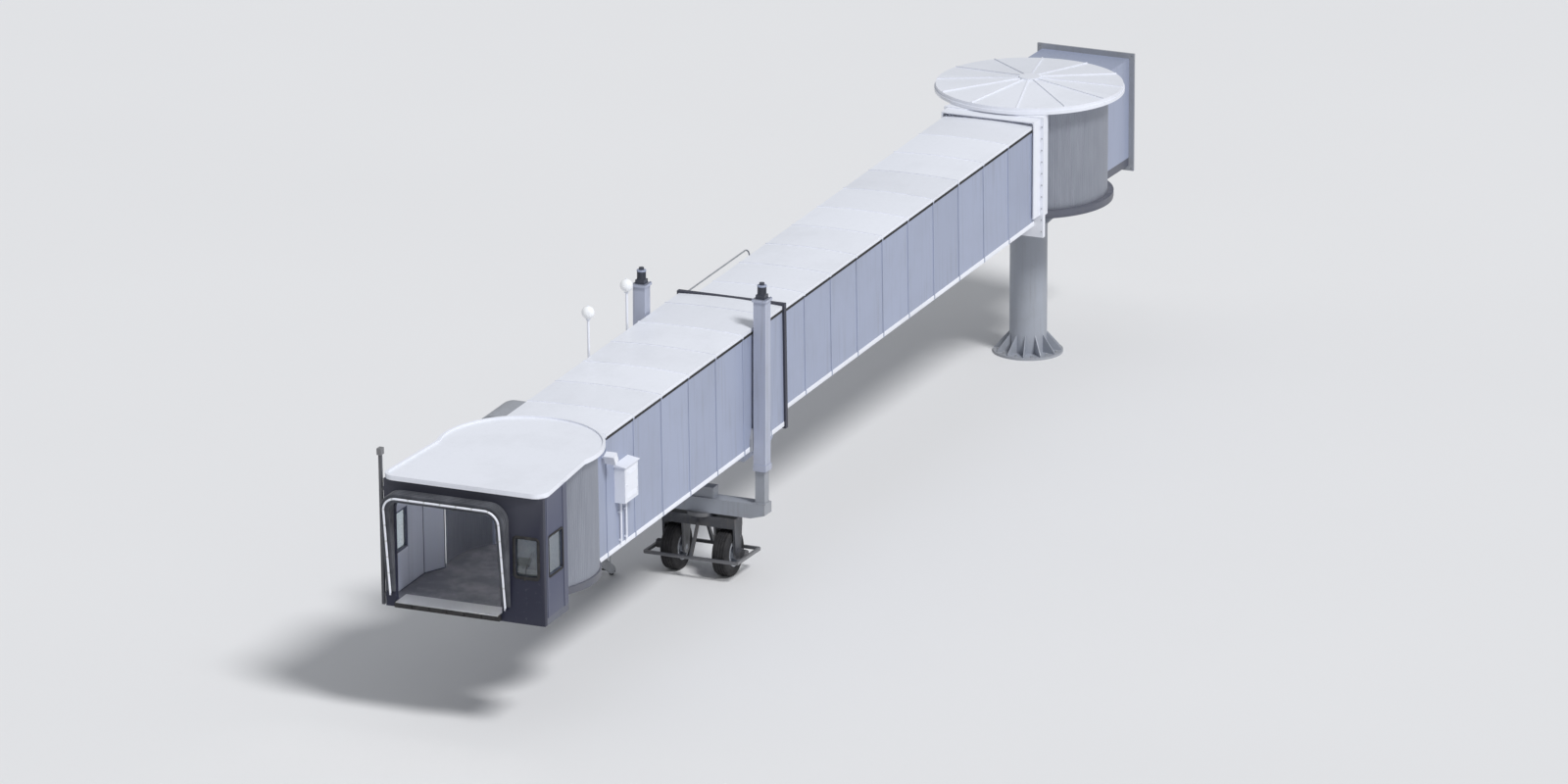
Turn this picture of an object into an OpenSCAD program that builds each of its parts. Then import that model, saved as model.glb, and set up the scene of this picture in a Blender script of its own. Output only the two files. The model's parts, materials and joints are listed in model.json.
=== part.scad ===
// Apron-drive passenger boarding bridge: a fixed corridor and rotunda on a column, two telescoping
// tunnels that pitch and swing about the rotunda, a wheeled drive column and a turning cab.
// X runs from the rotunda to the cab, Z is up, and the origin is under the column on the ground.
// Left is the side of positive Y. Lengths along the tunnels are measured from the tunnel hinge.

/* [Rotunda] */
// Height of the rotunda floor above the ground
floor_level = 4100; // [3900:10:4300]
// Clear height inside the rotunda
rotunda_clear = 2500; // [2480:10:2600]
// Radius of the fixed rotunda floor
rotunda_r = 2050; // [2030:5:2090]
// Thickness of the rotunda floor
rotunda_floor_t = 120; // [80:5:150]
// Depth of the ribs under the rotunda floor
rotunda_rib = 55; // [30:5:60]
// Radius of the rotunda roof
cap_r = 2300; // [2200:10:2500]
// Height of the roof's vertical rim
cap_rim = 160; // [120:10:240]
// Rise of the roof above its rim
cap_rise = 130; // [60:10:200]

/* [Column] */
// Diameter of the column pipe
column_d = 914; // [800:2:1000]
// Diameter of the base plate
base_d = 1700; // [1640:10:1900]
// Thickness of the base plate
base_t = 60; // [40:5:80]
// Number of anchor bolt holes in the base plate
anchor_count = 12; // [8:1:16]
// Diameter of the circle of anchor bolt holes
anchor_pcd = 1480; // [1400:10:1540]
// Diameter of an anchor bolt hole
anchor_hole_d = 42; // [30:1:52]
// Height of the gussets above the base plate
gusset_h = 450; // [300:10:600]
// Diameter of the collar and the slewing ring
slew_d = 1500; // [1300:10:1600]
// Diameter of the spigot that the slewing ring turns on
spigot_d = 800; // [600:10:840]

/* [Corridor] */
// Distance from the rotunda axis to the end at the wall
corridor_l = 3500; // [3000:50:4500]
// Outside width of the corridor
corridor_w = 2300; // [2200:10:2400]
// Thickness of the corridor walls
corridor_wall_t = 80; // [60:5:100]
// Thickness of the corridor floor
corridor_floor_t = 200; // [150:10:260]
// Thickness of the corridor roof
corridor_roof_t = 120; // [80:10:150]
// Depth of the flange at the terminal wall
flange_t = 60; // [40:5:80]
// Width of the flange around the corridor
flange_rim = 130; // [120:5:160]
// Diameter of a flange bolt hole
flange_hole_d = 26; // [18:1:32]

/* [Portal] */
// Clear width of the portal
portal_clear = 1700; // [1500:10:1760]
// Clear height of the portal
portal_h = 2200; // [2050:10:2250]
// Outside width of the portal frame
portal_w = 2600; // [2560:10:2700]
// Depth of the portal frame
portal_t = 120; // [100:5:140]
// Height of the yoke's box beams
yoke_h = 300; // [240:10:340]
// Length of the weather hood over the tunnel hinge
hood_l = 380; // [300:10:450]
// Diameter of the tunnel's hinge pins
pin_d = 60; // [40:2:70]

/* [Curtains] */
// Inner radius of the fixed curtain leaves in the rotunda
curtain_r = 1860; // [1850:2:1880]
// Thickness of a curtain leaf
leaf_t = 20; // [15:1:22]
// Arc of each curtain leaf in the rotunda, in degrees
leaf_arc = 57; // [40:1:58]
// Inner radius of the fixed curtain leaves at the cab
cab_curtain_r = 1680; // [1670:1:1684]
// Arc of each curtain leaf at the cab, in degrees
cab_leaf_arc = 39; // [30:1:39]

/* [Inner tunnel] */
// Outside width of the inner tunnel
inner_w = 2300; // [2200:10:2310]
// Outside height of the inner tunnel at its eaves
inner_h = 2500; // [2450:10:2520]
// Length of the inner tunnel
inner_l = 21200; // [20000:100:21600]
// Thickness of the inner tunnel's walls
inner_wall_t = 70; // [50:5:90]
// Depth of the inner tunnel's floor
inner_floor_t = 150; // [120:5:160]
// Thickness of the inner tunnel's roof at its eaves
inner_roof_t = 70; // [50:5:90]
// Rise of the tunnel roofs between their eaves
crown = 45; // [20:5:50]
// Length of the ramp between the two tunnel floors
ramp_l = 1400; // [1200:50:1600]
// Downward slope of the tunnels towards the cab, in degrees
slope = 2; // [1:0.1:2.5]

/* [Outer tunnel] */
// Distance from the tunnel hinge to the outer tunnel
outer_start = 15200; // [14800:100:15600]
// Length of the outer tunnel
outer_l = 10300; // [10000:50:10600]
// Thickness of the outer tunnel's walls
outer_wall_t = 80; // [60:5:90]
// Depth of the outer tunnel's floor
outer_floor_t = 160; // [140:5:180]
// Thickness of the outer tunnel's roof at its eaves
outer_roof_t = 80; // [60:5:90]
// Space between the tunnels at each side
side_gap = 75; // [60:5:90]
// Space between the inner tunnel's underside and the outer tunnel's floor
under_gap = 80; // [60:5:90]
// Space between the inner tunnel's roof ridge and the outer tunnel's ceiling
over_gap = 55; // [40:5:60]
// Length of the end collar that carries the inner tunnel
collar_l = 120; // [80:5:150]
// How far the collar stands out from the outer tunnel
collar_rim = 50; // [40:5:55]
// Reach of the cable rail beyond the outer tunnel's inner end
rail_lead = 3800; // [3000:100:4200]
// Distance from the cable rail's end to the outer tunnel's cab end
rail_back = 900; // [700:50:1500]

/* [Panels and floor frames] */
// Distance between the joints of the wall and roof panels
panel_step = 1500; // [1200:50:1800]
// Width of the strips that cover the panel joints
strip_w = 60; // [40:5:90]
// How far the strips stand out
strip_t = 12; // [6:1:14]
// Thickness of the floor plates above the joists
deck_t = 50; // [40:5:70]
// Width of the joists and edge beams under the floors
joist_w = 100; // [80:5:140]

/* [Drive column] */
// Distance from the outer tunnel's inner end to the drive column
drive_at = 1700; // [1650:50:1900]
// Width of a lift column
lift_tube_w = 300; // [280:5:320]
// Wall thickness of a lift column
lift_tube_t = 30; // [20:1:35]
// Space between a lift column and the outer tunnel's wall
lift_gap = 60; // [58:1:80]
// Height of the lift columns above the ground
lift_top = 6750; // [6600:10:6900]
// Height of a lift column's lower end above the ground
lift_bottom = 2640; // [2600:10:2700]
// Height of the lift legs' upper end above the ground
leg_top = 4400; // [4300:10:4600]
// Height of the cross beam's underside
cross_z = 1500; // [1480:10:1550]
// Height of the cross beam
cross_h = 350; // [300:10:370]
// Height of the screw drives' motors on the lift columns
motor_h = 380; // [250:10:450]
// Diameter of the kingpin that the bogie steers on
kingpin_d = 200; // [160:5:240]
// Diameter of a tyre
tyre_d = 1100; // [1000:10:1140]
// Width of a tyre
tyre_w = 400; // [350:10:420]
// Distance between the middles of the two tyres
track = 1300; // [1200:10:1360]
// Diameter of the wheel rims
rim_d = 640; // [560:10:700]
// Diameter of the axles
axle_d = 120; // [90:5:140]

/* [Cab] */
// Distance from the outer tunnel's end to the cab's axis
cab_neck = 1130; // [1120:5:1140]
// Distance from the cab's axis to its front
cab_front = 2900; // [2700:50:3100]
// Outside width of the cab
cab_w = 3900; // [3800:20:4000]
// Thickness of the cab's walls
cab_wall_t = 80; // [60:5:100]
// Depth of the cab's front frame
front_t = 120; // [80:5:140]
// Thickness of the cab's roof with its raised edge
cab_roof_t = 110; // [80:5:140]
// Width of the raised edge round the cab's roof
gutter_w = 60; // [40:5:90]
// Clear height of the front opening
front_clear = 2350; // [2200:10:2450]
// Clear width of the front opening
front_opening = 2600; // [2500:10:2650]
// Radius of the front opening's upper corners
front_corner_r = 220; // [120:10:300]
// Width of the wall beside the front opening on the right
front_jamb = 250; // [220:10:300]
// Depth of the folded canopy at its top
canopy_l = 300; // [250:10:350]
// Width of the canopy's folds round the opening
canopy_t = 220; // [160:10:230]
// Number of folds in the canopy
fold_count = 4; // [2:1:6]
// Diameter of the canopy's hoop tube
hoop_d = 50; // [40:2:60]
// Depth of the bumper in front of the cab's floor
bumper_t = 140; // [100:10:160]
// Length of the bearing's beams along the end of the outer tunnel
bearing_l = 1200; // [1000:50:1400]
// Length over which those beams keep their full depth
bearing_full_l = 800; // [600:50:900]
// Distance from the cab's axis to the pockets in its floor
pocket_from = 1900; // [1850:50:2200]
// Width of each pocket in the cab's floor
pocket_w = 1500; // [1300:20:1540]

/* [Lamps and cabinet] */
// Diameter of the ball lamps
lamp_d = 300; // [240:10:360]
// Height of the ball lamps above the outer tunnel's roof
lamp_over = 800; // [500:50:1000]
// Distance from the drive column to the first lamp
lamp_at = 900; // [700:50:1200]
// Distance between the two lamps
lamp_step = 2100; // [1500:50:2600]
// Length of the cabinet on the outer tunnel's left wall
cabinet_l = 700; // [500:10:900]
// Height of the cabinet
cabinet_h = 850; // [600:10:1000]
// Depth of the cabinet
cabinet_d = 260; // [180:10:320]

/* [Landing and stairs] */
// Distance from the outer tunnel's cab end to the landing
landing_back = 1600; // [1550:10:1700]
// Length of the landing along the tunnel
landing_l = 1200; // [1150:10:1300]
// Width of the landing
landing_w = 1150; // [1100:10:1200]
// Clear width of the service doorway
door_w = 900; // [850:10:950]
// Clear height of the service doorway
door_h = 2050; // [2000:10:2100]
// Height of the handrails
rail_h = 1050; // [950:10:1100]
// Diameter of the handrail tubes
rail_d = 42; // [34:1:48]
// Height of the hood's upright side above the landing
hood_side_h = 1950; // [1850:10:2000]
// Radius of the hood's rounded edge
hood_r = 500; // [400:10:560]
// Length of the stair flight along its slope
stair_l = 5500; // [5300:50:5700]
// Clear width of the stair flight
stair_w = 620; // [600:10:640]
// Number of treads
tread_count = 15; // [14:1:17]
// Diameter of the stair's castors
castor_d = 200; // [180:10:220]

/* [Hidden] */
$fn = 96;

// Gap of a seated running fit
seat = 0.3;
// Least gap between pieces that move past each other
clearance = 6;
// Overlap that keeps cuts and joined shapes clean
eps = 1;

// Heights in the rotunda
head_z = floor_level - rotunda_floor_t;
head_t = 40;
yoke_top = head_z - head_t - 40;
yoke_z = yoke_top - yoke_h;
roof_z = floor_level + rotunda_clear;

// The corridor's inner end, where its walls meet the curtains
tongue_x = rotunda_r + 50;
corridor_mouth = sqrt(pow(curtain_r + leaf_t, 2) - pow(corridor_w / 2, 2)) - eps;

// The portal stands just outside the rotunda floor
portal_x = rotunda_r + 20;
portal_front = portal_x + portal_t;
cheek_t = 100;
cheek_y = portal_clear / 2 + cheek_t;
housing_r = 150;
housing_x = portal_x - 240;

// The three curtain radii and the curtain's two ends
leaf_step = leaf_t + clearance;
fixed_end = acos(-corridor_mouth / (curtain_r + leaf_t));
moving_r = curtain_r + 2 * leaf_step;
moving_start = asin((cheek_y + seat / 2) / moving_r);
leaf_middle = (fixed_end + moving_start) / 2;

// The tunnel hinge, and heights above it square to the tunnel's floor
hinge_x = portal_front + 140;
hinge_drop = 90;
hinge_z = floor_level - hinge_drop;
inner_clear_l = 70;
inner_bottom = hinge_drop - inner_floor_t;
inner_eaves = inner_bottom + inner_h;
inner_ridge = inner_eaves + crown;
lug_r = 55;
lug_y = 700;
lug_t = 60;

outer_in = inner_w + 2 * side_gap;
outer_w = outer_in + 2 * outer_wall_t;
outer_floor = inner_bottom - under_gap;
outer_bottom = outer_floor - outer_floor_t;
outer_ceiling = inner_ridge + over_gap;
outer_eaves = outer_ceiling + outer_roof_t;
outer_ridge = outer_eaves + crown;
outer_end = outer_start + outer_l;
rail_w = outer_ceiling - 60;
rail_bend = 260;

// The drive column stands upright under the sloping tunnel
drive_u = outer_start + drive_at;
drive_x = hinge_x + drive_u * cos(slope);
trunnion_z = hinge_z - drive_u * sin(slope);
trunnion_d = 120;
bracket_w = 460;
lift_y = outer_w / 2 + lift_gap + lift_tube_w / 2;
leg_w = lift_tube_w - 2 * lift_tube_t - 2 * seat;
axle_z = tyre_d / 2;
bogie_top = cross_z - 80;
bogie_h = 240;
fork_t = 50;
fork_gap = 20;
fork_y = track / 2 + tyre_w / 2 + fork_gap + fork_t;

// The cab turns about an axis square to the tunnel's floor
cab_at = outer_end + cab_neck;
cab_floor_r = cab_curtain_r + 3 * leaf_step;
cab_ceiling = outer_ridge + strip_t + 15;
cab_leaf_start = acos(-(cab_neck - seat) / (cab_curtain_r + leaf_t));
cab_leaf_short = 1;
cab_leaf_long = 1.5;
cab_left_angle = 37;
cab_right_angle = 69;
cab_moving_r = cab_curtain_r + 2 * leaf_step;
cab_post_r = cab_moving_r + leaf_t + 30;
pivot_d = 200;
jamb_y = -cab_w / 2 + front_jamb;
opening_y = jamb_y + front_opening;
opening_middle = (jamb_y + opening_y) / 2;
front_face = cab_front + front_t;
window_low = outer_floor + 950;
window_high = outer_floor + 1850;
window_start = cab_front - 850;
window_end = cab_front - 150;
canopy_low = outer_floor + 210;
canopy_high = outer_floor + front_clear + canopy_t + 60;
hoop_pivot_w = outer_floor + 150;
hoop_pivot_x = front_face + 70;
hoop_half = (front_opening + canopy_t) / 2;
hoop_rise = canopy_high - canopy_t / 2 - hoop_pivot_w;
hoop_lean = atan2(canopy_l, hoop_rise);
hoop_pin_d = 20;

landing_end = outer_end - landing_back;
landing_start = landing_end - landing_l;
landing_edge = -outer_w / 2 - landing_w;
landing_t = 60;
hood_t = 40;
hood_spring = outer_floor + hood_side_h;
hood_skirt = 450;
post_d = rail_d - 8;
door_start = landing_start + (landing_l - door_w) / 2;
door_end = door_start + door_w;
door_gap = 5;
door_t = 45;
door_axis_y = -(outer_w / 2 + 20);
door_hinges = [300, door_h - 400];
knuckle_d = 30;
knuckle_h = 120;
hinge_pin_d = 14;
stair_axis_u = landing_start - 40;
stair_x = hinge_x + stair_axis_u * cos(slope) + (outer_floor - landing_t) * sin(slope);
stair_z = hinge_z - stair_axis_u * sin(slope) + (outer_floor - landing_t) * cos(slope);
stair_angle = asin((stair_z - castor_d / 2) / stair_l);
stair_y = outer_w / 2 + landing_w - stair_w / 2 - 80;
string_t = 40;
string_h = 110;
stair_axle_d = 40;

// Panel joints of the two tunnels, clear of the lift columns' brackets
inner_joints = [inner_clear_l + panel_step:panel_step:inner_l - 300];
outer_joints = [
    for (u = [outer_start + 700:panel_step:outer_end - 300])
        if (abs(u - drive_u) > bracket_w / 2 + strip_w) u
];

// Corners of the cab's plan
function on_circle(r, a) = [r * cos(a), r * sin(a)];
left_post = on_circle(cab_post_r, cab_left_angle);
left_corner = [left_post.x + 350, cab_w / 2];
right_post = on_circle(cab_post_r, -cab_right_angle);
right_corner = [right_post.x + 550, -cab_w / 2];

// Colours
white = [0.90, 0.90, 0.92];
wall_grey = [0.78, 0.79, 0.82];
steel_grey = [0.55, 0.57, 0.60];
dark_grey = [0.25, 0.26, 0.29];
black = [0.09, 0.09, 0.10];
galvanised = [0.66, 0.68, 0.69];
glass = [0.35, 0.42, 0.46];

// Frame of the sloping tunnels, with its origin on the hinge axis
module pitched() {
    translate([hinge_x, 0, hinge_z]) rotate([0, slope, 0]) children();
}

// Frame of the cab, with its origin on the cab's axis
module at_cab() {
    pitched() translate([cab_at, 0, 0]) children();
}

// A box given by its low and high corners
module block(low, high) {
    translate(low) cube(high - low);
}

// A profile drawn in Y and Z, carried along X
module along_x(l) {
    rotate([90, 0, 90]) linear_extrude(l) children();
}

// A profile drawn in X and Z, carried across Y and centred on it
module across_y(w) {
    translate([0, w / 2, 0]) rotate([90, 0, 0]) linear_extrude(w) children();
}

// A round bar across Y, centred on it
module bar_y(d, l) {
    rotate([90, 0, 0]) cylinder(d = d, h = l, center = true);
}

// A curved upright sheet of inner radius r, from one angle to another
module leaf(r, from, to, low, high) {
    rotate([0, 0, from]) rotate_extrude(angle = to - from, $fn = 360)
        translate([r, low]) square([leaf_t, high - low]);
}

// Both sides of something drawn on the left
module both_sides() {
    children();
    mirror([0, 1, 0]) children();
}

// An upright panel between two points of a plan, with its thickness to the left of the way from p to q
module panel(p, q, t, low, high) {
    way = q - p;
    translate([p.x, p.y, low]) rotate([0, 0, atan2(way.y, way.x)]) cube([norm(way), t, high - low]);
}

// A roof slab with a gently arched top
module arched_roof(w, l, low, t) {
    steps = 8;
    arch = [for (i = [0:steps]) let (s = 1 - 2 * i / steps) [s * w / 2, low + t + crown * (1 - s * s)]];
    along_x(l) polygon(concat([[-w / 2, low], [w / 2, low]], arch));
}

// Pockets between the joists of a floor frame, cut from below, from one place to another
module joist_pockets(from, to, half, low, depth) {
    count = floor((to - from) / panel_step);
    pitch = (to - from) / count;
    for (i = [0:count - 1]) translate([from + i * pitch, 0, low - eps])
        block([joist_w / 2, -half, 0], [pitch - joist_w / 2, half, depth + eps]);
}

// A rectangle with round upper corners, standing on y = 0 and centred on x = 0
module arch_plan(w, h, r) {
    translate([-w / 2, 0]) square([w, h - r]);
    translate([r - w / 2, h - r - eps]) square([w - 2 * r, r + eps]);
    for (side = [-1, 1]) translate([side * (w / 2 - r), h - r]) circle(r = r);
}

module rotunda_column() color(steel_grey) {
    collar_t = 60;
    difference() {
        union() {
            cylinder(d = base_d, h = base_t);
            cylinder(d = column_d, h = yoke_z - seat);
            translate([0, 0, yoke_z - seat - collar_t]) cylinder(d = slew_d, h = collar_t);
            cylinder(d = spigot_d, h = head_z);
            translate([0, 0, head_z - head_t]) cylinder(d = slew_d - 100, h = head_t);
            // Gussets at the foot and brackets under the collar
            for (i = [0:anchor_count - 1]) rotate([0, 0, (i + 0.5) * 360 / anchor_count]) {
                across_y(20) polygon([
                    [column_d / 2 - 5, base_t - eps], [base_d / 2 - 40, base_t - eps],
                    [base_d / 2 - 40, base_t + 40], [column_d / 2 - 5, base_t + gusset_h]
                ]);
                translate([0, 0, yoke_z - seat - collar_t]) across_y(20) polygon([
                    [column_d / 2 - 5, eps], [slew_d / 2 - 30, eps],
                    [slew_d / 2 - 30, -30], [column_d / 2 - 5, -300]
                ]);
            }
        }
        for (i = [0:anchor_count - 1]) rotate([0, 0, i * 360 / anchor_count])
            translate([anchor_pcd / 2, 0, -eps]) cylinder(d = anchor_hole_d, h = base_t + 2 * eps);
    }
}

module rotunda_floor() color(dark_grey) {
    rib_t = 40;
    rib_start = slew_d / 2 - 50 + clearance;
    translate([0, 0, head_z]) {
        cylinder(r = rotunda_r, h = rotunda_floor_t);
        block([-tongue_x, -corridor_w / 2, 0], [0, corridor_w / 2, rotunda_floor_t]);
        // Ring beam and ribs underneath
        translate([0, 0, -rotunda_rib]) {
            difference() {
                cylinder(r = rotunda_r - 10, h = rotunda_rib + eps);
                translate([0, 0, -eps]) cylinder(r = rotunda_r - 10 - joist_w, h = rotunda_rib + 3 * eps);
            }
            for (i = [0:11]) rotate([0, 0, i * 30])
                block([rib_start, -rib_t / 2, 0], [rotunda_r - joist_w, rib_t / 2, rotunda_rib + eps]);
        }
    }
}

module rotunda_roof() color(white) {
    drip = 30;
    flat_r = 350;
    crown_r = 250;
    seam_count = 12;
    translate([0, 0, roof_z]) {
        cylinder(r = cap_r, h = cap_rim / 2);
        cylinder(r = cap_r - drip, h = cap_rim);
        translate([0, 0, cap_rim]) cylinder(r1 = cap_r - drip, r2 = flat_r, h = cap_rise);
        translate([0, 0, cap_rim + cap_rise - eps]) cylinder(r = crown_r, h = 40);
        for (i = [0:seam_count - 1]) rotate([0, 0, (i + 0.5) * 360 / seam_count]) across_y(24) polygon([
            [crown_r - eps, cap_rim + cap_rise - 20], [crown_r - eps, cap_rim + cap_rise + 25],
            [flat_r, cap_rim + cap_rise + 25], [cap_r - drip - 5, cap_rim + 25], [cap_r - drip - 5, cap_rim - 20]
        ]);
    }
}

module rotunda_curtain_fixed() color(wall_grey) {
    both_sides() leaf(curtain_r, fixed_end - leaf_arc, fixed_end, floor_level + seat, roof_z - seat);
}

module rotunda_curtain_middle() color(wall_grey) {
    both_sides() leaf(curtain_r + leaf_step, leaf_middle - leaf_arc / 2, leaf_middle + leaf_arc / 2,
        floor_level + seat, roof_z - clearance);
}

module rotunda_curtain_moving() color(wall_grey) {
    both_sides() leaf(moving_r, moving_start, moving_start + leaf_arc,
        floor_level + clearance, roof_z - clearance);
}

module corridor_floor() color(dark_grey) {
    depth = corridor_floor_t - deck_t;
    half = corridor_w / 2;
    difference() {
        block([-corridor_l, -half, floor_level - corridor_floor_t], [-tongue_x, half, floor_level]);
        block([-corridor_l + joist_w, -half + joist_w, floor_level - corridor_floor_t - eps],
            [-tongue_x - joist_w, half - joist_w, floor_level - corridor_floor_t + depth]);
    }
}

module corridor_shell() color(wall_grey) {
    half = corridor_w / 2;
    difference() {
        block([-corridor_l, -half, floor_level], [-corridor_mouth, half, roof_z]);
        block([-corridor_l - eps, corridor_wall_t - half, floor_level - eps],
            [eps - corridor_mouth, half - corridor_wall_t, roof_z - corridor_roof_t]);
    }
}

module terminal_flange() color(steel_grey) {
    low = floor_level - corridor_floor_t;
    half = corridor_w / 2;
    translate([-corridor_l - flange_t, 0, 0]) difference() {
        block([0, -half - flange_rim, low - flange_rim], [flange_t, half + flange_rim, roof_z + flange_rim]);
        block([-eps, corridor_wall_t - half, floor_level],
            [flange_t + eps, half - corridor_wall_t, roof_z - corridor_roof_t]);
        for (y = [-1, 1], z = [low - flange_rim / 2, roof_z + flange_rim / 2])
            translate([-eps, y * (half + flange_rim / 2), z]) rotate([0, 90, 0])
                cylinder(d = flange_hole_d, h = flange_t + 2 * eps);
    }
}

module slewing_yoke() color(steel_grey) {
    beam_in = 350;
    beam_out = 550;
    translate([0, 0, yoke_z]) difference() {
        union() {
            cylinder(d = slew_d, h = yoke_h);
            both_sides() block([0, beam_in, 0], [portal_x, beam_out, yoke_h]);
            block([1300, -beam_in - eps, 40], [1400, beam_in + eps, yoke_h - 40]);
        }
        translate([0, 0, -eps]) cylinder(d = spigot_d + 2 * clearance, h = yoke_h + 2 * eps);
    }
}

module portal_frame() color(white) {
    top = roof_z - clearance;
    low = floor_level + clearance;
    cheek_start = sqrt(pow(moving_r, 2) - pow(cheek_y, 2)) - 15;
    difference() {
        block([portal_x, -portal_w / 2, yoke_z], [portal_front, portal_w / 2, top]);
        block([portal_x - eps, -portal_clear / 2, floor_level],
            [portal_front + eps, portal_clear / 2, floor_level + portal_h]);
    }
    // Sill between the round floor and the frame
    difference() {
        block([portal_x - 220, -cheek_y, head_z], [portal_x, cheek_y, floor_level]);
        translate([0, 0, head_z - eps]) cylinder(r = rotunda_r + clearance, h = rotunda_floor_t + 2 * eps);
    }
    both_sides() {
        // Cheeks and the housings of the curtain rollers, clear above the fixed floor
        block([cheek_start, cheek_y - cheek_t, low], [portal_x, cheek_y, top]);
        block([housing_x, cheek_y, low], [portal_x, cheek_y + 2 * housing_r, top]);
        translate([housing_x, cheek_y + housing_r, low]) cylinder(r = housing_r, h = top - low);
        hinge_clevis();
    }
    // Threshold plate over the hinge
    plate_top = floor_level + 24;
    block([portal_x, -portal_clear / 2, floor_level - eps], [portal_front, portal_clear / 2, plate_top]);
    block([portal_front, -portal_clear / 2, plate_top - 10], [hinge_x + 170, portal_clear / 2, plate_top]);
}

// Two ears and the pin that the inner tunnel hangs on
module hinge_clevis() {
    for (y = [lug_y - lug_t - clearance, lug_y + lug_t + clearance])
        translate([0, y, hinge_z]) across_y(lug_t) union() {
            translate([hinge_x, 0]) circle(r = lug_r);
            translate([portal_front - eps, -lug_r]) square([hinge_x - portal_front + eps, 2 * lug_r]);
        }
    translate([hinge_x, lug_y, hinge_z]) bar_y(pin_d, 3 * lug_t + 4 * clearance);
}

module hinge_hood() color(white) {
    sheet = 30;
    half = inner_w / 2 + sheet;
    roof_low = hinge_z + inner_ridge + 40;
    translate([portal_front, 0, 0]) difference() {
        block([0, -half - sheet, floor_level + 50], [hood_l, half + sheet, roof_low + sheet]);
        block([-eps, -half, floor_level], [hood_l + eps, half, roof_low]);
    }
}

module inner_floor() color(dark_grey) {
    half = inner_w / 2 - inner_wall_t;
    pitched() {
        difference() {
            block([inner_clear_l, -half, inner_bottom], [inner_l, half, hinge_drop]);
            joist_pockets(inner_clear_l + 200, inner_l - joist_w, half - joist_w, inner_bottom,
                inner_floor_t - deck_t);
        }
        // Lugs that turn on the portal's pins
        both_sides() translate([0, lug_y, 0]) difference() {
            across_y(lug_t) union() {
                circle(r = lug_r);
                translate([0, -lug_r]) square([inner_clear_l + eps, 2 * lug_r]);
            }
            bar_y(pin_d + 2 * seat, lug_t + 2 * eps);
        }
    }
}

module inner_walls() color(wall_grey) {
    eaves = inner_eaves - inner_roof_t;
    pitched() both_sides() {
        block([inner_clear_l, inner_w / 2 - inner_wall_t, inner_bottom], [inner_l, inner_w / 2, eaves]);
        for (u = inner_joints)
            block([u, inner_w / 2 - eps, inner_bottom], [u + strip_w, inner_w / 2 + strip_t, eaves]);
    }
}

module inner_roof() color(white) {
    low = inner_eaves - inner_roof_t;
    pitched() {
        translate([inner_clear_l, 0, 0]) arched_roof(inner_w, inner_l - inner_clear_l, low, inner_roof_t);
        for (u = inner_joints) translate([u, 0, 0])
            arched_roof(inner_w + 2 * strip_t, strip_w, low, inner_roof_t + strip_t);
    }
}

module transition_ramp() color(dark_grey) {
    pitched() translate([inner_l, 0, 0]) across_y(inner_w - 2 * inner_wall_t) polygon([
        [0, outer_floor + seat], [ramp_l, outer_floor + seat],
        [ramp_l, outer_floor + clearance], [0, hinge_drop]
    ]);
}

// Space that the cab's round floor turns in
module cab_floor_space() {
    translate([cab_at, 0, outer_bottom - eps])
        cylinder(r = cab_floor_r + clearance, h = outer_floor_t + clearance + eps, $fn = 360);
}

module outer_floor() color(dark_grey) {
    pitched() difference() {
        block([outer_start, -outer_in / 2, outer_bottom], [outer_end, outer_in / 2, outer_floor]);
        joist_pockets(outer_start + joist_w, outer_end - 1400, outer_in / 2 - joist_w, outer_bottom,
            outer_floor_t - deck_t);
        cab_floor_space();
    }
}

module outer_wall_left() color(wall_grey) {
    pitched() difference() {
        union() {
            block([outer_start, outer_in / 2, outer_bottom], [outer_end, outer_w / 2, outer_ceiling]);
            for (u = outer_joints)
                block([u, outer_w / 2 - eps, outer_bottom],
                    [u + strip_w, outer_w / 2 + strip_t, outer_ceiling]);
        }
        cab_floor_space();
    }
}

module outer_wall_right() color(wall_grey) {
    pitched() {
        difference() {
            union() {
                block([outer_start, -outer_w / 2, outer_bottom], [outer_end, -outer_in / 2, outer_ceiling]);
                for (u = outer_joints) if (u < landing_start - strip_w)
                    block([u, -outer_w / 2 - strip_t, outer_bottom],
                        [u + strip_w, eps - outer_w / 2, outer_ceiling]);
            }
            block([door_start, -outer_w / 2 - eps, outer_floor],
                [door_end, eps - outer_in / 2, outer_floor + door_h]);
            cab_floor_space();
        }
        // The jamb's half of the door hinges, with their pins
        for (w = door_hinges) translate([door_end + 2, door_axis_y, outer_floor + w - knuckle_h - seat]) {
            cylinder(d = knuckle_d, h = knuckle_h);
            cylinder(d = hinge_pin_d, h = 2 * knuckle_h + seat);
            block([0, 0, 0], [60, 20 + eps, knuckle_h]);
        }
    }
}

module outer_roof() color(white) {
    pitched() {
        translate([outer_start, 0, 0]) arched_roof(outer_w, outer_l, outer_ceiling, outer_roof_t);
        for (u = outer_joints) translate([u, 0, 0])
            arched_roof(outer_w + 2 * strip_t, strip_w, outer_ceiling, outer_roof_t + strip_t);
    }
}

// Collar that bears on the inner tunnel's underside
module outer_collar() color(wall_grey) {
    half = outer_w / 2 + collar_rim;
    play = strip_t + clearance;
    pitched() translate([outer_start - collar_l, 0, 0]) difference() {
        block([0, -half, outer_bottom - collar_rim], [collar_l, half, outer_ridge + 10]);
        block([-eps, -inner_w / 2 - play, inner_bottom - seat],
            [collar_l + eps, inner_w / 2 + play, inner_ridge + play]);
        // Notches for the cable rail
        for (w = [rail_w, rail_w - 2 * rail_bend])
            block([-eps, -half - eps, w - 30], [collar_l + eps, -outer_w / 2 - clearance, w + 30]);
    }
}

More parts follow.
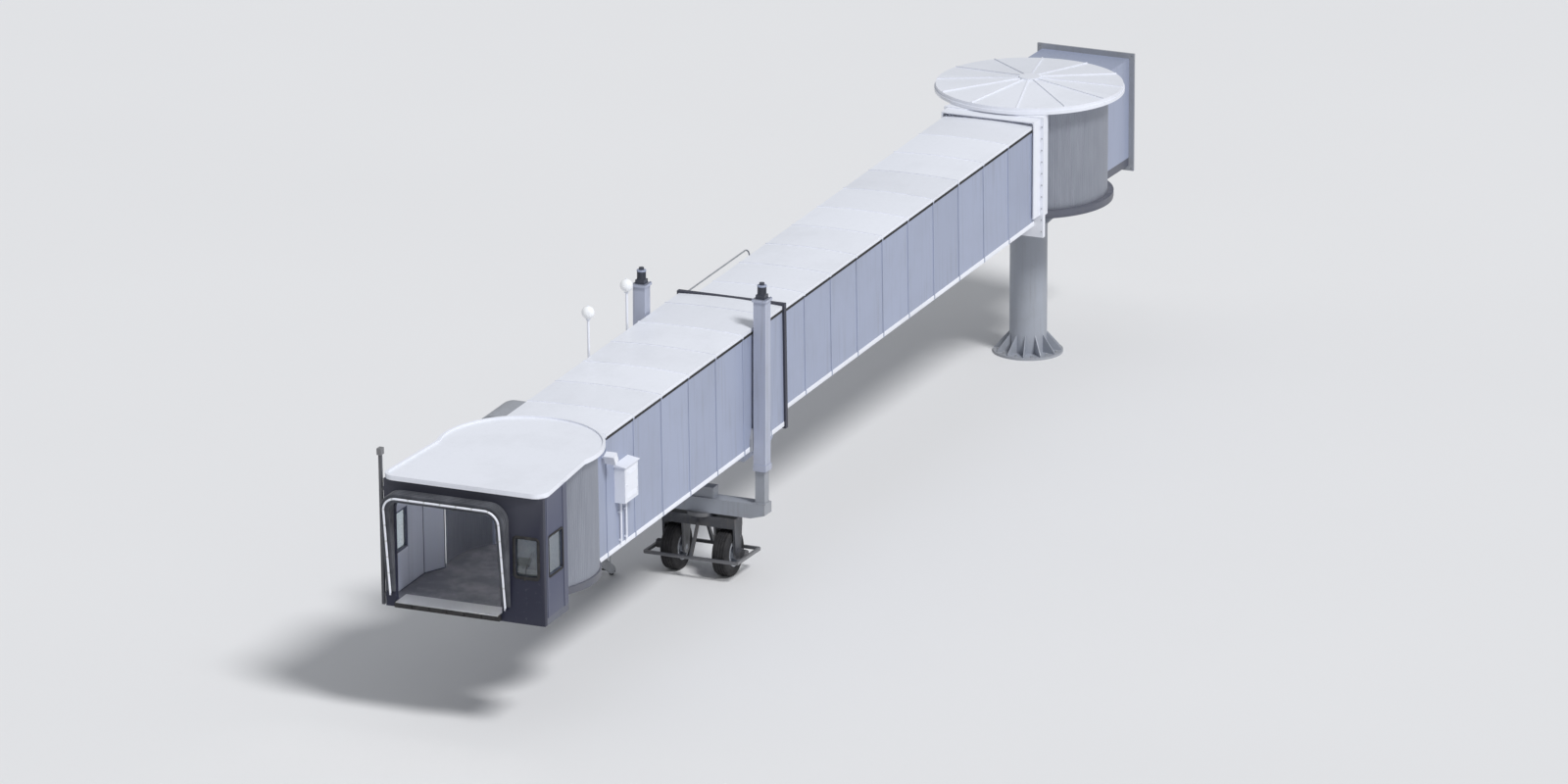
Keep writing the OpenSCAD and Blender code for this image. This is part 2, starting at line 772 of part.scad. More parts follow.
module trunnion_brackets() color(steel_grey) {
    bracket_t = lift_gap - 10;
    pitched() translate([drive_u, 0, 0]) both_sides() difference() {
        translate([0, outer_w / 2 + bracket_t / 2, 0]) across_y(bracket_t) polygon([
            [-bracket_w / 2, outer_bottom], [bracket_w / 2, outer_bottom], [bracket_w / 2, 0],
            [bracket_w / 4, bracket_w / 2], [-bracket_w / 4, bracket_w / 2], [-bracket_w / 2, 0]
        ]);
        translate([0, outer_w / 2 + bracket_t / 2, 0]) bar_y(trunnion_d + 2 * seat, bracket_t + 2 * eps);
    }
}

// Beams under the outer tunnel that carry the cab's pivot
module cab_bearing() color(steel_grey) {
    beam_h = 200;
    ring_r = 450;
    pitched() translate([0, 0, outer_bottom - seat - beam_h]) {
        both_sides() translate([0, 350, 0]) across_y(200) polygon([
            [outer_end - bearing_l, beam_h - 60], [outer_end - bearing_full_l, 0], [cab_at, 0],
            [cab_at, beam_h], [outer_end - bearing_l, beam_h]
        ]);
        translate([cab_at, 0, 0]) cylinder(r = ring_r, h = beam_h);
        translate([cab_at, 0, 0]) cylinder(d = pivot_d, h = beam_h + outer_floor_t - 20);
    }
}

module cab_curtain_fixed() color(wall_grey) {
    at_cab() both_sides() leaf(cab_curtain_r, cab_leaf_start - cab_leaf_arc - cab_leaf_long, cab_leaf_start,
        outer_floor + clearance, cab_ceiling - clearance);
}

module cab_curtain_middle() color(wall_grey) {
    for (side = [0, 1]) at_cab() mirror([0, side, 0]) {
        middle = (cab_leaf_start + (side == 0 ? cab_left_angle : cab_right_angle)) / 2;
        leaf(cab_curtain_r + leaf_step, middle - cab_leaf_arc / 2, middle + cab_leaf_arc / 2 - cab_leaf_short,
            outer_floor + seat, cab_ceiling - clearance);
    }
}

module cab_curtain_moving() color(wall_grey) {
    for (side = [0, 1]) at_cab() mirror([0, side, 0]) {
        from = side == 0 ? cab_left_angle : cab_right_angle;
        leaf(cab_moving_r, from, from + cab_leaf_arc, outer_floor + seat, cab_ceiling - seat);
    }
}

// Rail for the cable trolleys along the roof's edge on the right, with its end bent down
module cable_rail() color(galvanised) {
    rail_from = outer_start - rail_lead;
    rail_to = outer_end - rail_back;
    tube_d = 36;
    y = -(outer_w / 2 + lift_gap - clearance - tube_d / 2);
    lower_w = rail_w - 2 * rail_bend;
    pitched() {
        translate([rail_from, y, rail_w]) rotate([0, 90, 0]) cylinder(d = tube_d, h = rail_to - rail_from);
        translate([rail_from, y, rail_w - rail_bend]) rotate([90, 0, 0]) rotate([0, 0, 90])
            rotate_extrude(angle = 180) translate([rail_bend, 0]) circle(d = tube_d);
        translate([rail_from, y, lower_w]) rotate([0, 90, 0])
            cylinder(d = tube_d, h = outer_start - rail_from + 200);
        for (u = [outer_start + 100:1900:rail_to - 100])
            block([u, y, rail_w - 10], [u + 60, -outer_w / 2, rail_w + 10]);
        block([outer_start + 100, y, lower_w - 10], [outer_start + 160, -outer_w / 2, lower_w + 10]);
    }
}

// Air conditioning unit slung under the outer tunnel's inner end
module conditioning_unit() color(wall_grey) {
    unit_l = 2250;
    unit_w = 1500;
    unit_h = 560;
    top = outer_bottom - collar_rim - seat;
    end = drive_u - 360;
    louvre_h = 30;
    pitched() {
        translate([end - unit_l, 0, top]) difference() {
            across_y(unit_w) polygon([
                [0, 0], [0, -unit_h * 0.35], [450, -unit_h],
                [unit_l - 300, -unit_h], [unit_l, -unit_h * 0.6], [unit_l, 0]
            ]);
            for (i = [0:4]) for (y = [-unit_w / 2, unit_w / 2]) translate([0, y, -120 - i * 2 * louvre_h])
                block([700, -15, -louvre_h], [unit_l - 400, 15, 0]);
        }
        for (u = [outer_start + 150, end - 200])
            block([u, -outer_in / 2 + 20, top - eps], [u + 80, outer_in / 2 - 20, outer_bottom]);
    }
}

// Two ball lamps on masts at the right and two floodlights near the cab
module lamps() color(white) {
    mast_y = -(outer_w / 2 + 120);
    mast_w = outer_ceiling - 500;
    mast_h = outer_ridge + lamp_over - mast_w;
    flood_w = outer_ceiling - 420;
    pitched() {
        for (u = [drive_u + lamp_at, drive_u + lamp_at + lamp_step]) {
            translate([u, mast_y, mast_w]) cylinder(d = 60, h = mast_h);
            translate([u, mast_y, mast_w + mast_h + lamp_d / 2 - 15]) {
                sphere(d = lamp_d);
                translate([0, 0, lamp_d / 2 - 10]) cylinder(d = 40, h = 25);
            }
            translate([u, mast_y, mast_w + mast_h - 40]) cylinder(d = 110, h = 30);
            block([u - 40, mast_y, mast_w + 60], [u + 40, -outer_w / 2, mast_w + 140]);
        }
        both_sides() translate([outer_end - 420, outer_w / 2, flood_w]) {
            block([0, 0, 0], [60, 150, 40]);
            translate([30, 210, 20]) rotate([0, 25, 0]) block([-90, -130, -110], [90, 130, 110]);
        }
    }
}

// Switch cabinet on the outer tunnel's left wall, with the conduits that run down from it
module wall_cabinet() color(white) {
    frame = 40;
    start = outer_end - 1000 - cabinet_l;
    low = outer_floor + 1000;
    conduit_d = 50;
    pitched() translate([start, outer_w / 2, 0]) {
        difference() {
            block([0, 0, low], [cabinet_l, cabinet_d, low + cabinet_h]);
            block([frame, cabinet_d - 10, low + frame],
                [cabinet_l - frame, cabinet_d + eps, low + cabinet_h - frame]);
        }
        for (x = [0.3 * cabinet_l, 0.7 * cabinet_l]) translate([x, conduit_d, 0]) {
            translate([0, 0, outer_bottom + 150]) cylinder(d = conduit_d, h = low - outer_bottom - 150 + eps);
            block([-30, -conduit_d, outer_bottom + 200], [30, 0, outer_bottom + 240]);
            block([-30, -conduit_d, low - 300], [30, 0, low - 260]);
        }
        // Sloping rain cover
        translate([-30, 0, low + cabinet_h]) along_x(cabinet_l + 60)
            polygon([[0, -eps], [cabinet_d + 40, -eps], [cabinet_d + 40, 12], [0, 60]]);
    }
}

module landing() color(galvanised) {
    lug_span = stair_w / 2 - 60;
    toe_h = 100;
    toe_t = 8;
    pitched() {
        block([landing_start, landing_edge, outer_floor - landing_t], [landing_end, -outer_w / 2, outer_floor]);
        // Toe board, and brackets back to the tunnel's wall
        translate([0, landing_edge + rail_d + seat, outer_floor])
            block([landing_start + hood_t + seat, 0, -eps],
                [landing_end - rail_d - hood_t - 2 * seat, toe_t, toe_h]);
        for (u = [landing_start + 100, landing_end - 140]) translate([u, -outer_w / 2, 0]) along_x(40) polygon([
            [0, outer_bottom], [0, outer_floor - eps],
            [100 - landing_w, outer_floor - landing_t + eps], [-120, outer_bottom]
        ]);
    }
    // Lugs and the pin that the stair flight hangs on
    translate([stair_x, -stair_y, stair_z]) {
        bar_y(stair_axle_d, stair_w + 2 * string_t);
        for (side = [-1, 1]) translate([0, side * lug_span, 0]) rotate([0, slope, 0]) across_y(40) union() {
            circle(d = 80);
            translate([0, -40]) square([60, 80]);
        }
    }
}

// A guard rail of posts, a top rail and a knee rail, between two points of a plan
module guard(p, q) {
    way = q - p;
    l = norm(way);
    translate([p.x, p.y, 0]) rotate([0, 0, atan2(way.y, way.x)]) {
        for (x = [0, l]) translate([x, 0, 0]) cylinder(d = post_d, h = rail_h);
        for (z = [rail_h / 2, rail_h]) translate([0, 0, z]) rotate([0, 90, 0]) cylinder(d = rail_d, h = l);
    }
}

module landing_rails() color(galvanised) {
    inset = hood_t + seat + rail_d / 2;
    edge = landing_edge + rail_d / 2;
    pitched() translate([0, 0, outer_floor]) {
        guard([landing_start + inset, edge], [landing_end - inset, edge]);
        guard([landing_end - inset, edge], [landing_end - inset, -outer_w / 2 - rail_d / 2 - seat]);
    }
}

// Rounded hood over the landing
module landing_hood() color(steel_grey) {
    pitched() translate([landing_start, 0, 0]) {
        along_x(landing_l) difference() {
            union() {
                translate([landing_edge + hood_r, hood_spring]) circle(r = hood_r);
                translate([landing_edge, hood_spring - hood_skirt]) square([hood_t, hood_skirt + eps]);
                translate([landing_edge + hood_r, hood_spring]) square([landing_w - hood_r, hood_r]);
            }
            translate([landing_edge + hood_r, hood_spring]) circle(r = hood_r - hood_t);
            translate([landing_edge + hood_t, hood_spring - hood_r - eps]) square([2 * hood_r, hood_r + eps]);
            translate([landing_edge + hood_r - eps, hood_spring - eps])
                square([landing_w - hood_r + 2 * eps, hood_r - hood_t + eps]);
        }
        for (x = [0, landing_l - hood_t])
            block([x, landing_edge, outer_floor],
                [x + hood_t, landing_edge + hood_t, hood_spring - hood_skirt + eps]);
    }
}

module service_door() color(wall_grey) {
    pitched() {
        difference() {
            block([door_start + door_gap, -outer_w / 2, outer_floor + door_gap],
                [door_end - door_gap, -outer_w / 2 + door_t, outer_floor + door_h - door_gap]);
            block([door_start + 300, -outer_w / 2 - eps, outer_floor + 1250],
                [door_end - 300, -outer_w / 2 + door_t + eps, outer_floor + 1700]);
            for (w = [150, 660]) block([door_start + 180, -outer_w / 2 - eps, outer_floor + w],
                [door_end - 180, -outer_w / 2 + 6, outer_floor + w + 400]);
        }
        for (w = door_hinges) translate([door_end + 2, door_axis_y, outer_floor + w]) difference() {
            union() {
                cylinder(d = knuckle_d, h = knuckle_h);
                block([-60, 0, 0], [-8, 20 + eps, knuckle_h]);
            }
            translate([0, 0, -eps]) cylinder(d = hinge_pin_d + 2 * seat, h = knuckle_h + 2 * eps);
        }
        // Lever handle
        translate([door_start + 90, -outer_w / 2, outer_floor + 1000]) {
            bar_y(40, 60);
            block([-20, -50, -15], [130, -30, 15]);
        }
    }
}

// Frame of the stair flight, whose X axis runs down the flight from its pivot
module flight() {
    translate([stair_x, -stair_y, stair_z]) rotate([0, 0, 180]) rotate([0, stair_angle, 0]) children();
}

module stair_flight() color(galvanised) {
    half = stair_w / 2;
    head_r = 34;
    tread_step = (stair_l - 250) / (tread_count + 1);
    flight() difference() {
        union() {
            for (side = [-1, 1]) translate([0, side * (half + string_t / 2), 0]) across_y(string_t) union() {
                circle(r = head_r);
                polygon([
                    [0, -head_r], [60, -string_h], [stair_l - 150, -string_h], [stair_l + 40, -30],
                    [stair_l + 40, 60], [stair_l - 100, string_h], [20, string_h], [0, head_r]
                ]);
            }
            for (i = [1:tread_count]) translate([i * tread_step, 0, 0]) rotate([0, -stair_angle, 0]) {
                block([-120, -half - eps, -20], [120, half + eps, 20]);
                block([85, -half - eps, 20 - eps], [120, half + eps, 25]);
            }
        }
        for (x = [0, stair_l]) translate([x, 0, 0]) bar_y(stair_axle_d + 2 * seat, stair_w + 4 * string_t);
    }
}

// Posts are cut off along the strings that they stand on
module stair_rails() color(galvanised) {
    first = 200;
    length = stair_l - 500;
    post_step = length / 4;
    top = rail_h - 60;
    flight() difference() {
        for (side = [-1, 1]) translate([first, side * (stair_w + string_t) / 2, string_h]) {
            for (i = [0:4]) translate([i * post_step, 0, 0])
                rotate([0, -stair_angle, 0]) translate([0, 0, -20]) cylinder(d = post_d, h = top + 20);
            for (h = [top / 2, top])
                rotate([0, -stair_angle, 0]) translate([0, 0, h]) rotate([0, stair_angle + 90, 0])
                    translate([0, 0, -60]) cylinder(d = rail_d, h = length + 120);
        }
        block([0, -stair_w, 0], [stair_l, stair_w, string_h + seat]);
    }
}

module stair_castors() color(black) {
    castor_w = 60;
    castor_y = (stair_w - castor_w) / 2 - 10;
    flight() translate([stair_l, 0, 0]) {
        for (y = [-castor_y, castor_y]) translate([0, y, 0]) bar_y(castor_d, castor_w);
        bar_y(stair_axle_d, stair_w + 2 * string_t);
    }
}

// Square lift columns hung on trunnions beside the outer tunnel, with their drives on top
module lift_columns() color(white) {
    half = lift_tube_w / 2;
    inside = half - lift_tube_t;
    head_t = 60;
    fin_count = 16;
    both_sides() translate([drive_x, lift_y, 0]) {
        difference() {
            union() {
                block([-half, -half, lift_bottom], [half, half, lift_top - head_t]);
                block([-half - 20, -half, lift_bottom], [half + 20, half + 20, lift_bottom + 150]);
            }
            block([-inside, -inside, lift_bottom - eps], [inside, inside, lift_top - 200]);
        }
        block([-half - 30, -half - 30, lift_top - head_t - eps], [half + 30, half + 30, lift_top]);
        translate([0, 0, lift_top - eps]) {
            block([-110, -110, 0], [110, 110, 100]);
            difference() {
                cylinder(d = 210, h = motor_h - 60);
                for (i = [0:fin_count - 1]) rotate([0, 0, i * 360 / fin_count])
                    block([90, -7, 120], [110, 7, motor_h - 100]);
            }
            cylinder(d = 120, h = motor_h);
        }
        translate([0, eps - half, trunnion_z]) rotate([90, 0, 0]) cylinder(d = trunnion_d, h = lift_gap - 10);
    }
}

// Inner legs, cross beam and kingpin
module lift_legs() color(steel_grey) {
    half = leg_w / 2;
    flange = half + 50;
    reach = lift_y + lift_tube_w / 2;
    translate([drive_x, 0, 0]) {
        both_sides() {
            block([-half, lift_y - half, cross_z + 100], [half, lift_y + half, leg_top]);
            block([-flange, lift_y - flange, cross_z + cross_h - eps], [flange, reach, cross_z + cross_h + 20]);
        }
        translate([-200, 0, 0]) along_x(400) polygon([
            [-reach, cross_z + cross_h], [-reach, cross_z + 100], [-reach + 350, cross_z],
            [reach - 350, cross_z], [reach, cross_z + 100], [reach, cross_z + cross_h]
        ]);
        translate([0, 0, bogie_top - bogie_h]) cylinder(d = kingpin_d, h = bogie_h + cross_z - bogie_top + eps);
        // Housing of the brake and the slip rings on the beam
        block([-150, -350, cross_z + cross_h - eps], [150, 350, cross_z + cross_h + 250]);
    }
}

// Steering bogie with a fork for each wheel, drive motors and a guard round the wheels
module bogie_frame() color(dark_grey) {
    guard_d = 70;
    guard_x = tyre_d / 2 + 90;
    guard_z = 480;
    fork_side = tyre_w / 2 + fork_gap + fork_t / 2;
    translate([drive_x, 0, 0]) difference() {
        union() {
            translate([0, 0, bogie_top - eps]) cylinder(d = 700, h = cross_z - bogie_top + eps - seat);
            block([-220, -fork_y, bogie_top - bogie_h], [220, fork_y, bogie_top]);
            for (side = [-1, 1]) {
                for (y = [track / 2 - fork_side, fork_y - fork_t / 2])
                    translate([0, side * y, 0]) across_y(fork_t) fork_plan();
                translate([0, side * (fork_y - eps), axle_z]) rotate([-90 * side, 0, 0]) {
                    cylinder(d = 260, h = 80);
                    difference() {
                        cylinder(d = 220, h = 200);
                        for (i = [0:15]) rotate([0, 0, i * 22.5]) block([95, -8, 95], [120, 8, 185]);
                    }
                }
            }
            wheel_guard(guard_x, fork_y + 240, guard_z, guard_d);
        }
        translate([0, 0, bogie_top - bogie_h - eps]) cylinder(d = kingpin_d + 2 * seat, h = bogie_h + cross_z);
        translate([0, 0, axle_z]) bar_y(axle_d + 2 * seat, 2 * fork_y - eps);
    }
}

// Side of a fork, from the axle up to the beam
module fork_plan() {
    beam_low = bogie_top - bogie_h + eps;
    translate([0, axle_z]) circle(r = 150);
    polygon([[-150, axle_z], [150, axle_z], [210, beam_low], [-210, beam_low]]);
}

// A level frame of square tube round both wheels, hung from the bogie's beam
module wheel_guard(x, y, z, d) {
    for (side = [-1, 1]) {
        block([side * x - d / 2, -y, z], [side * x + d / 2, y, z + d]);
        block([-x, side * y - d / 2, z], [x, side * y + d / 2, z + d]);
        // Arms down from the beam between the wheels
        across_y(60) polygon([
            [side * 200, bogie_top - 60], [side * 200, bogie_top - bogie_h + 20],
            [side * (x - d / 2 + eps), z], [side * (x + d / 2), z], [side * (x + d / 2), z + d]
        ]);
    }
}

module rim(side) {
    axle_l = 2 * (tyre_w / 2 + fork_gap + fork_t) - 4 * eps;
    hub_d = 260;
    disc_t = 40;
    translate([drive_x, side * track / 2, axle_z]) {
        difference() {
            bar_y(rim_d, tyre_w - 20);
            for (y = [-1, 1] * (tyre_w + disc_t) / 4)
                translate([0, y, 0]) bar_y(rim_d - 80, (tyre_w - disc_t) / 2);
            for (i = [0:7]) rotate([0, i * 45, 0])
                translate([(rim_d + hub_d) / 4 - 15, 0, 0]) bar_y(60, tyre_w);
        }
        bar_y(hub_d, tyre_w);
        bar_y(axle_d, axle_l);
    }
}

// Tyre with rounded sidewalls and four grooves in its tread
module tyre(side) {
    shoulder = 70;
    groove_w = 14;
    groove_d = 16;
    half = tyre_w / 2;
    r = tyre_d / 2;
    wall_r = (rim_d + tyre_d) / 4;
    groove_step = (tyre_w - 2 * shoulder) / 4;
    flank = [[rim_d / 2, half - 30], [rim_d / 2 + 40, half - 8], [wall_r, half], [r - shoulder, half - 10],
        [r - 15, half - 35], [r, half - shoulder]];
    tread = [
        for (i = [-1.5:1:1.5], p = [[0, -1], [-groove_d, -1], [-groove_d, 1], [0, 1]])
            [r + p.x, i * groove_step + p.y * groove_w / 2]
    ];
    translate([drive_x, side * track / 2, axle_z]) rotate([90, 0, 0]) rotate_extrude() polygon(concat(
        [for (p = flank) [p.x, -p.y]], tread, [for (i = [5:-1:0]) flank[i]]
    ));
}

module rim_left() color(steel_grey) rim(1);

module tyre_left() color(black) tyre(1);

module rim_right() color(steel_grey) rim(-1);

module tyre_right() color(black) tyre(-1);

module cab_plan() {
    polygon([[0, -cab_floor_r / 2], right_post, right_corner, [cab_front, -cab_w / 2], [cab_front, cab_w / 2],
        left_corner, left_post, [0, cab_floor_r / 2]]);
}

module cab_floor() color(dark_grey) {
    at_cab() translate([0, 0, outer_bottom]) difference() {
        linear_extrude(outer_floor_t) union() {
            circle(r = cab_floor_r);
            cab_plan();
        }
        translate([0, 0, -eps]) cylinder(d = pivot_d + 2 * seat, h = outer_floor_t - 20 + 2 * eps);
        // Pockets between the joists under the front
        for (y = [-1, 1] * cab_w / 4)
            block([pocket_from, y - pocket_w / 2, -eps],
                [cab_front - joist_w, y + pocket_w / 2, outer_floor_t - deck_t]);
    }
}

module cab_walls() color(wall_grey) {
    plan = [[cab_front, cab_w / 2], left_corner, left_post, right_post, right_corner, [cab_front, -cab_w / 2]];
    at_cab() difference() {
        union() {
            for (i = [0, 1, 3, 4])
                panel(plan[i], plan[i + 1], cab_wall_t, outer_floor + seat, cab_ceiling - seat);
            for (x = [window_start - 110, window_end + 50], side = [-1, 1])
                translate([x, side * cab_w / 2, 0])
                    block([0, -strip_t, outer_floor + seat], [strip_w, strip_t, cab_ceiling - seat]);
        }
        side_window(1);
        side_window(-1);
    }
}

// Space of a cab side window
module side_window(side) {
    translate([0, side * (cab_w / 2 - cab_wall_t / 2), 0])
        block([window_start, -cab_wall_t, window_low], [window_end, cab_wall_t, window_high]);
}

// Space of the driver's window in the front
module front_window(from, to) {
    block([from, opening_y + 350, window_low], [to, cab_w / 2 - 150, window_high]);
}

module cab_front() color(wall_grey) {
    at_cab() {
        difference() {
            block([cab_front, -cab_w / 2, outer_bottom], [front_face, cab_w / 2, cab_ceiling]);
            translate([cab_front - eps, opening_middle, outer_floor]) along_x(front_t + 2 * eps)
                arch_plan(front_opening, front_clear, front_corner_r);
            front_window(cab_front - eps, front_face + eps);
        }
        // Ears and pins that the canopy's hoop folds on
        for (side = [-1, 1]) translate([hoop_pivot_x, opening_middle + side * hoop_half, hoop_pivot_w]) {
            bar_y(hoop_pin_d, 46);
            translate([0, side * 19, 0]) across_y(12) union() {
                circle(d = 60);
                translate([front_face - hoop_pivot_x, -30]) square([hoop_pivot_x - front_face, 60]);
            }
        }
    }
}

module cab_windows() color(glass) {
    pane = 12;
    at_cab() {
        for (side = [-1, 1]) translate([0, side * (cab_w / 2 - cab_wall_t / 2), 0])
            block([window_start, -pane / 2, window_low], [window_end, pane / 2, window_high]);
        front_window(cab_front + 50, cab_front + 50 + pane);
    }
}

module cab_roof() color(white) {
    at_cab() translate([0, 0, cab_ceiling]) difference() {
        linear_extrude(cab_roof_t) roof_plan(0);
        translate([0, 0, cab_roof_t - 40]) linear_extrude(41) roof_plan(gutter_w);
    }
}

// Plan of the cab's roof, drawn in by a distance on every side
module roof_plan(inset) {
    nose = front_face + 60 - inset;
    half = cab_w / 2 + 40 - inset;
    round_r = 300;
    circle(r = cab_post_r + 120 - inset);
    polygon([[0, 200 - half], [nose - round_r, -half], [nose, round_r - half], [nose, half - round_r],
        [nose - round_r, half], [0, half - 200]]);
    for (y = [-1, 1]) translate([nose - round_r, y * (half - round_r)]) circle(r = round_r);
}

// The driver's desk behind the front window on the left
module driver_console() color(dark_grey) {
    gap = 60;
    low = opening_y + gap;
    high = cab_w / 2 - cab_wall_t - gap;
    at_cab() translate([cab_front, (low + high) / 2, outer_floor]) across_y(high - low) polygon([
        [-650, 0], [0, 0], [0, 1000], [-250, 1000], [-600, 820], [-600, 120], [-650, 120]
    ]);
}

// Rubbing post at the front's right corner, with a lamp box above the roof
module corner_post() color(black) {
    post_w = 70;
    off = 55;
    y = -cab_w / 2 - off - post_w;
    post_top = cab_ceiling + cab_roof_t + 420;
    at_cab() {
        block([cab_front + 20, y, outer_bottom], [cab_front + 20 + post_w, y + post_w, post_top]);
        block([cab_front - 30, y - 20, post_top - eps], [cab_front + 130, y + post_w + 20, post_top + 150]);
        for (w = [outer_bottom + 200, outer_floor + 1200, cab_ceiling - 300])
            block([cab_front + 30, y + post_w - eps, w], [cab_front + 80, -cab_w / 2, w + 80]);
    }
}

module floor_bumper() color(black) {
    r = 40;
    w = outer_floor_t - 20;
    at_cab() translate([front_face, opening_middle, outer_bottom + 20]) difference() {
        across_y(front_opening - 40) union() {
            square([bumper_t - r, w]);
            translate([bumper_t - r - eps, r]) square([r + eps, w - 2 * r]);
            for (z = [r, w - r]) translate([bumper_t - r, z]) circle(r = r);
        }
        for (i = [-2:2]) translate([0, i * (front_opening - 40) / 6, 0])
            block([bumper_t - 25, -15, -eps], [bumper_t + eps, 15, w + eps]);
    }
}

// Folded fabric canopy round the front opening, fanned out from its lower corners behind the hoop
module canopy() color(dark_grey) {
    rise = canopy_high - canopy_low;
    base = hoop_pivot_x - front_face - hoop_d / 2 - clearance + (canopy_low - hoop_pivot_w) * tan(hoop_lean);
    valley = 25;
    wedges = 2 * fold_count;
    at_cab() translate([front_face, opening_middle, canopy_low]) intersection() {
        for (i = [0:wedges - 1]) {
            dip = i % 2 == 0 ? 0 : valley;
            near = i == 0 ? 0 : base + rise * tan(hoop_lean * i / wedges);
            far = base + rise * tan(hoop_lean * (i + 1) / wedges);
            across_y(front_opening + 2 * canopy_t - 2 * dip)
                polygon([[0, 0], [base, 0], [far, rise - dip], [near, rise - dip]]);
        }
        along_x(canopy_l + 2 * base) difference() {
            arch_plan(front_opening + 2 * canopy_t, rise, front_corner_r + canopy_t);
            translate([0, -eps]) arch_plan(front_opening, rise - canopy_t + eps, front_corner_r);
        }
    }
}

// Hoop at the canopy's front, pivoted at both lower corners
module canopy_hoop() color(white) {
    leg = hoop_rise / cos(hoop_lean);
    bend = front_corner_r + canopy_t / 2;
    eye_d = hoop_d + 10;
    at_cab() translate([hoop_pivot_x, opening_middle, hoop_pivot_w]) rotate([0, hoop_lean, 0]) {
        both_sides() {
            translate([0, hoop_half, 0]) difference() {
                union() {
                    across_y(24) circle(d = eye_d);
                    block([-18, -12, 0], [18, 12, eye_d / 2 + 10]);
                    translate([0, 0, eye_d / 2 + 5]) cylinder(d = hoop_d, h = leg - bend - eye_d / 2 - 5);
                }
                bar_y(hoop_pin_d + 2 * seat, hoop_d);
            }
            translate([0, hoop_half - bend, leg - bend]) rotate([90, 0, 90])
                rotate_extrude(angle = 90) translate([bend, 0]) circle(d = hoop_d);
        }
        translate([0, 0, leg]) bar_y(hoop_d, 2 * (hoop_half - bend));
    }
}

rotunda_column();
rotunda_floor();
rotunda_roof();
rotunda_curtain_fixed();
corridor_floor();
corridor_shell();
terminal_flange();
rotunda_curtain_middle();
slewing_yoke();
portal_frame();
rotunda_curtain_moving();
hinge_hood();
inner_floor();
inner_walls();
inner_roof();
transition_ramp();
outer_floor();
outer_wall_left();
outer_wall_right();
outer_roof();
outer_collar();
trunnion_brackets();
cab_bearing();
cab_curtain_fixed();
cable_rail();
conditioning_unit();
lamps();
wall_cabinet();
landing();
landing_rails();
landing_hood();
service_door();
stair_flight();
stair_rails();
stair_castors();
lift_columns();
lift_legs();
bogie_frame();
rim_left();
tyre_left();
rim_right();
tyre_right();
cab_curtain_middle();
cab_floor();
cab_walls();
cab_roof();
cab_front();
cab_windows();
driver_console();
corner_post();
cab_curtain_moving();
floor_bumper();
canopy();
canopy_hoop();
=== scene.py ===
# %% [markdown]
# # A jet bridge, finished in Blender
# The imported CAD model is the frame: every tunnel, column and wheel is already in its place, in metres.
# This lesson gives it paint, rubber, glass and cloth, and adds what CAD leaves out: the slatted curtains,
# the folded canopy, lamps, nuts, seals and trim. Most pieces ride on a body of the model, so they move
# when the bridge swings, stretches or lifts.

# %% Load the frame
import json

import bmesh
import bpy
import numpy as np
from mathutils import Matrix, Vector


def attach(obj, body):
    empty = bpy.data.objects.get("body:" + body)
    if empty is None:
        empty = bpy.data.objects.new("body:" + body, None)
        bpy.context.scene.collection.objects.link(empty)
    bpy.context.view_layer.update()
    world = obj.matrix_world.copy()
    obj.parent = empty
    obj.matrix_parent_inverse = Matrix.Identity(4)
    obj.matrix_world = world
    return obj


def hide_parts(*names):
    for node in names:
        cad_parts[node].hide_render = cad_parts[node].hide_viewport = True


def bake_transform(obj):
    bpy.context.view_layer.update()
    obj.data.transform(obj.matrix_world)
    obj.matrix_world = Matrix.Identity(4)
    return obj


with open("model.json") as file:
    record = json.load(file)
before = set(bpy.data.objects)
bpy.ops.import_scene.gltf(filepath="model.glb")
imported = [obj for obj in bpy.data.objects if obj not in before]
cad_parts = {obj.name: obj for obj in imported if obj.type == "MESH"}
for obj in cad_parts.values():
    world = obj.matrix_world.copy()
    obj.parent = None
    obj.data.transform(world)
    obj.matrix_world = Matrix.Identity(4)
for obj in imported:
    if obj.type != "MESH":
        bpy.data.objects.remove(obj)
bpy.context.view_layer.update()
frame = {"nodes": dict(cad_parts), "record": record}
nodes = frame["nodes"]
record = frame["record"]

# %% [markdown]
# The tunnels slope down by two degrees, so their pieces are easiest to place in the tunnels' own frame:
# u runs along the floor from the hinge, v to the left, and w stands square to the floor. One matrix turns
# such points into the bridge's frame, for a whole array at once.

# %% Sizes, in metres, and the frames of the tunnels and of the cab
slope = np.radians(2.0)
hinge = np.array([2.33, 0.0, 4.01])
tunnel_axes = np.array([
    [np.cos(slope), 0, -np.sin(slope)],
    [0, 1, 0],
    [np.sin(slope), 0, np.cos(slope)],
])
x_axis, y_axis, z_axis = np.eye(3)
both = (1, -1)
floor_level, roof_z, corridor_ceiling = 4.10, 6.60, 6.48
inner_start, inner_end = 0.07, 21.20
inner_half, inner_bottom, inner_floor = 1.15, -0.06, 0.09
inner_eaves = 2.44
outer_start, outer_end = 15.20, 25.50
outer_half, outer_bottom, outer_floor = 1.305, -0.30, -0.14
outer_ceiling, outer_ridge = 2.54, 2.665
drive_u = 16.90
drive_x = round(hinge[0] + drive_u * np.cos(slope), 4)
lift_y, lift_top = 1.515, 6.75
wheel_y, axle_z = 0.65, 0.55
cab_at = outer_end + 1.13
cab_front, cab_half, cab_ceiling = 2.90, 1.95, 2.692
cab_face = cab_front + 0.12
landing_start, landing_end = 22.70, 23.90
landing_edge = -outer_half - 1.15
door_start, door_end = 22.85, 23.75
stair_top, stair_angle = np.array([24.969, -2.065, 3.019]), np.radians(32.06)


def as_it_is(points):
    """Points in the bridge's own frame."""
    return np.asarray(points, float)


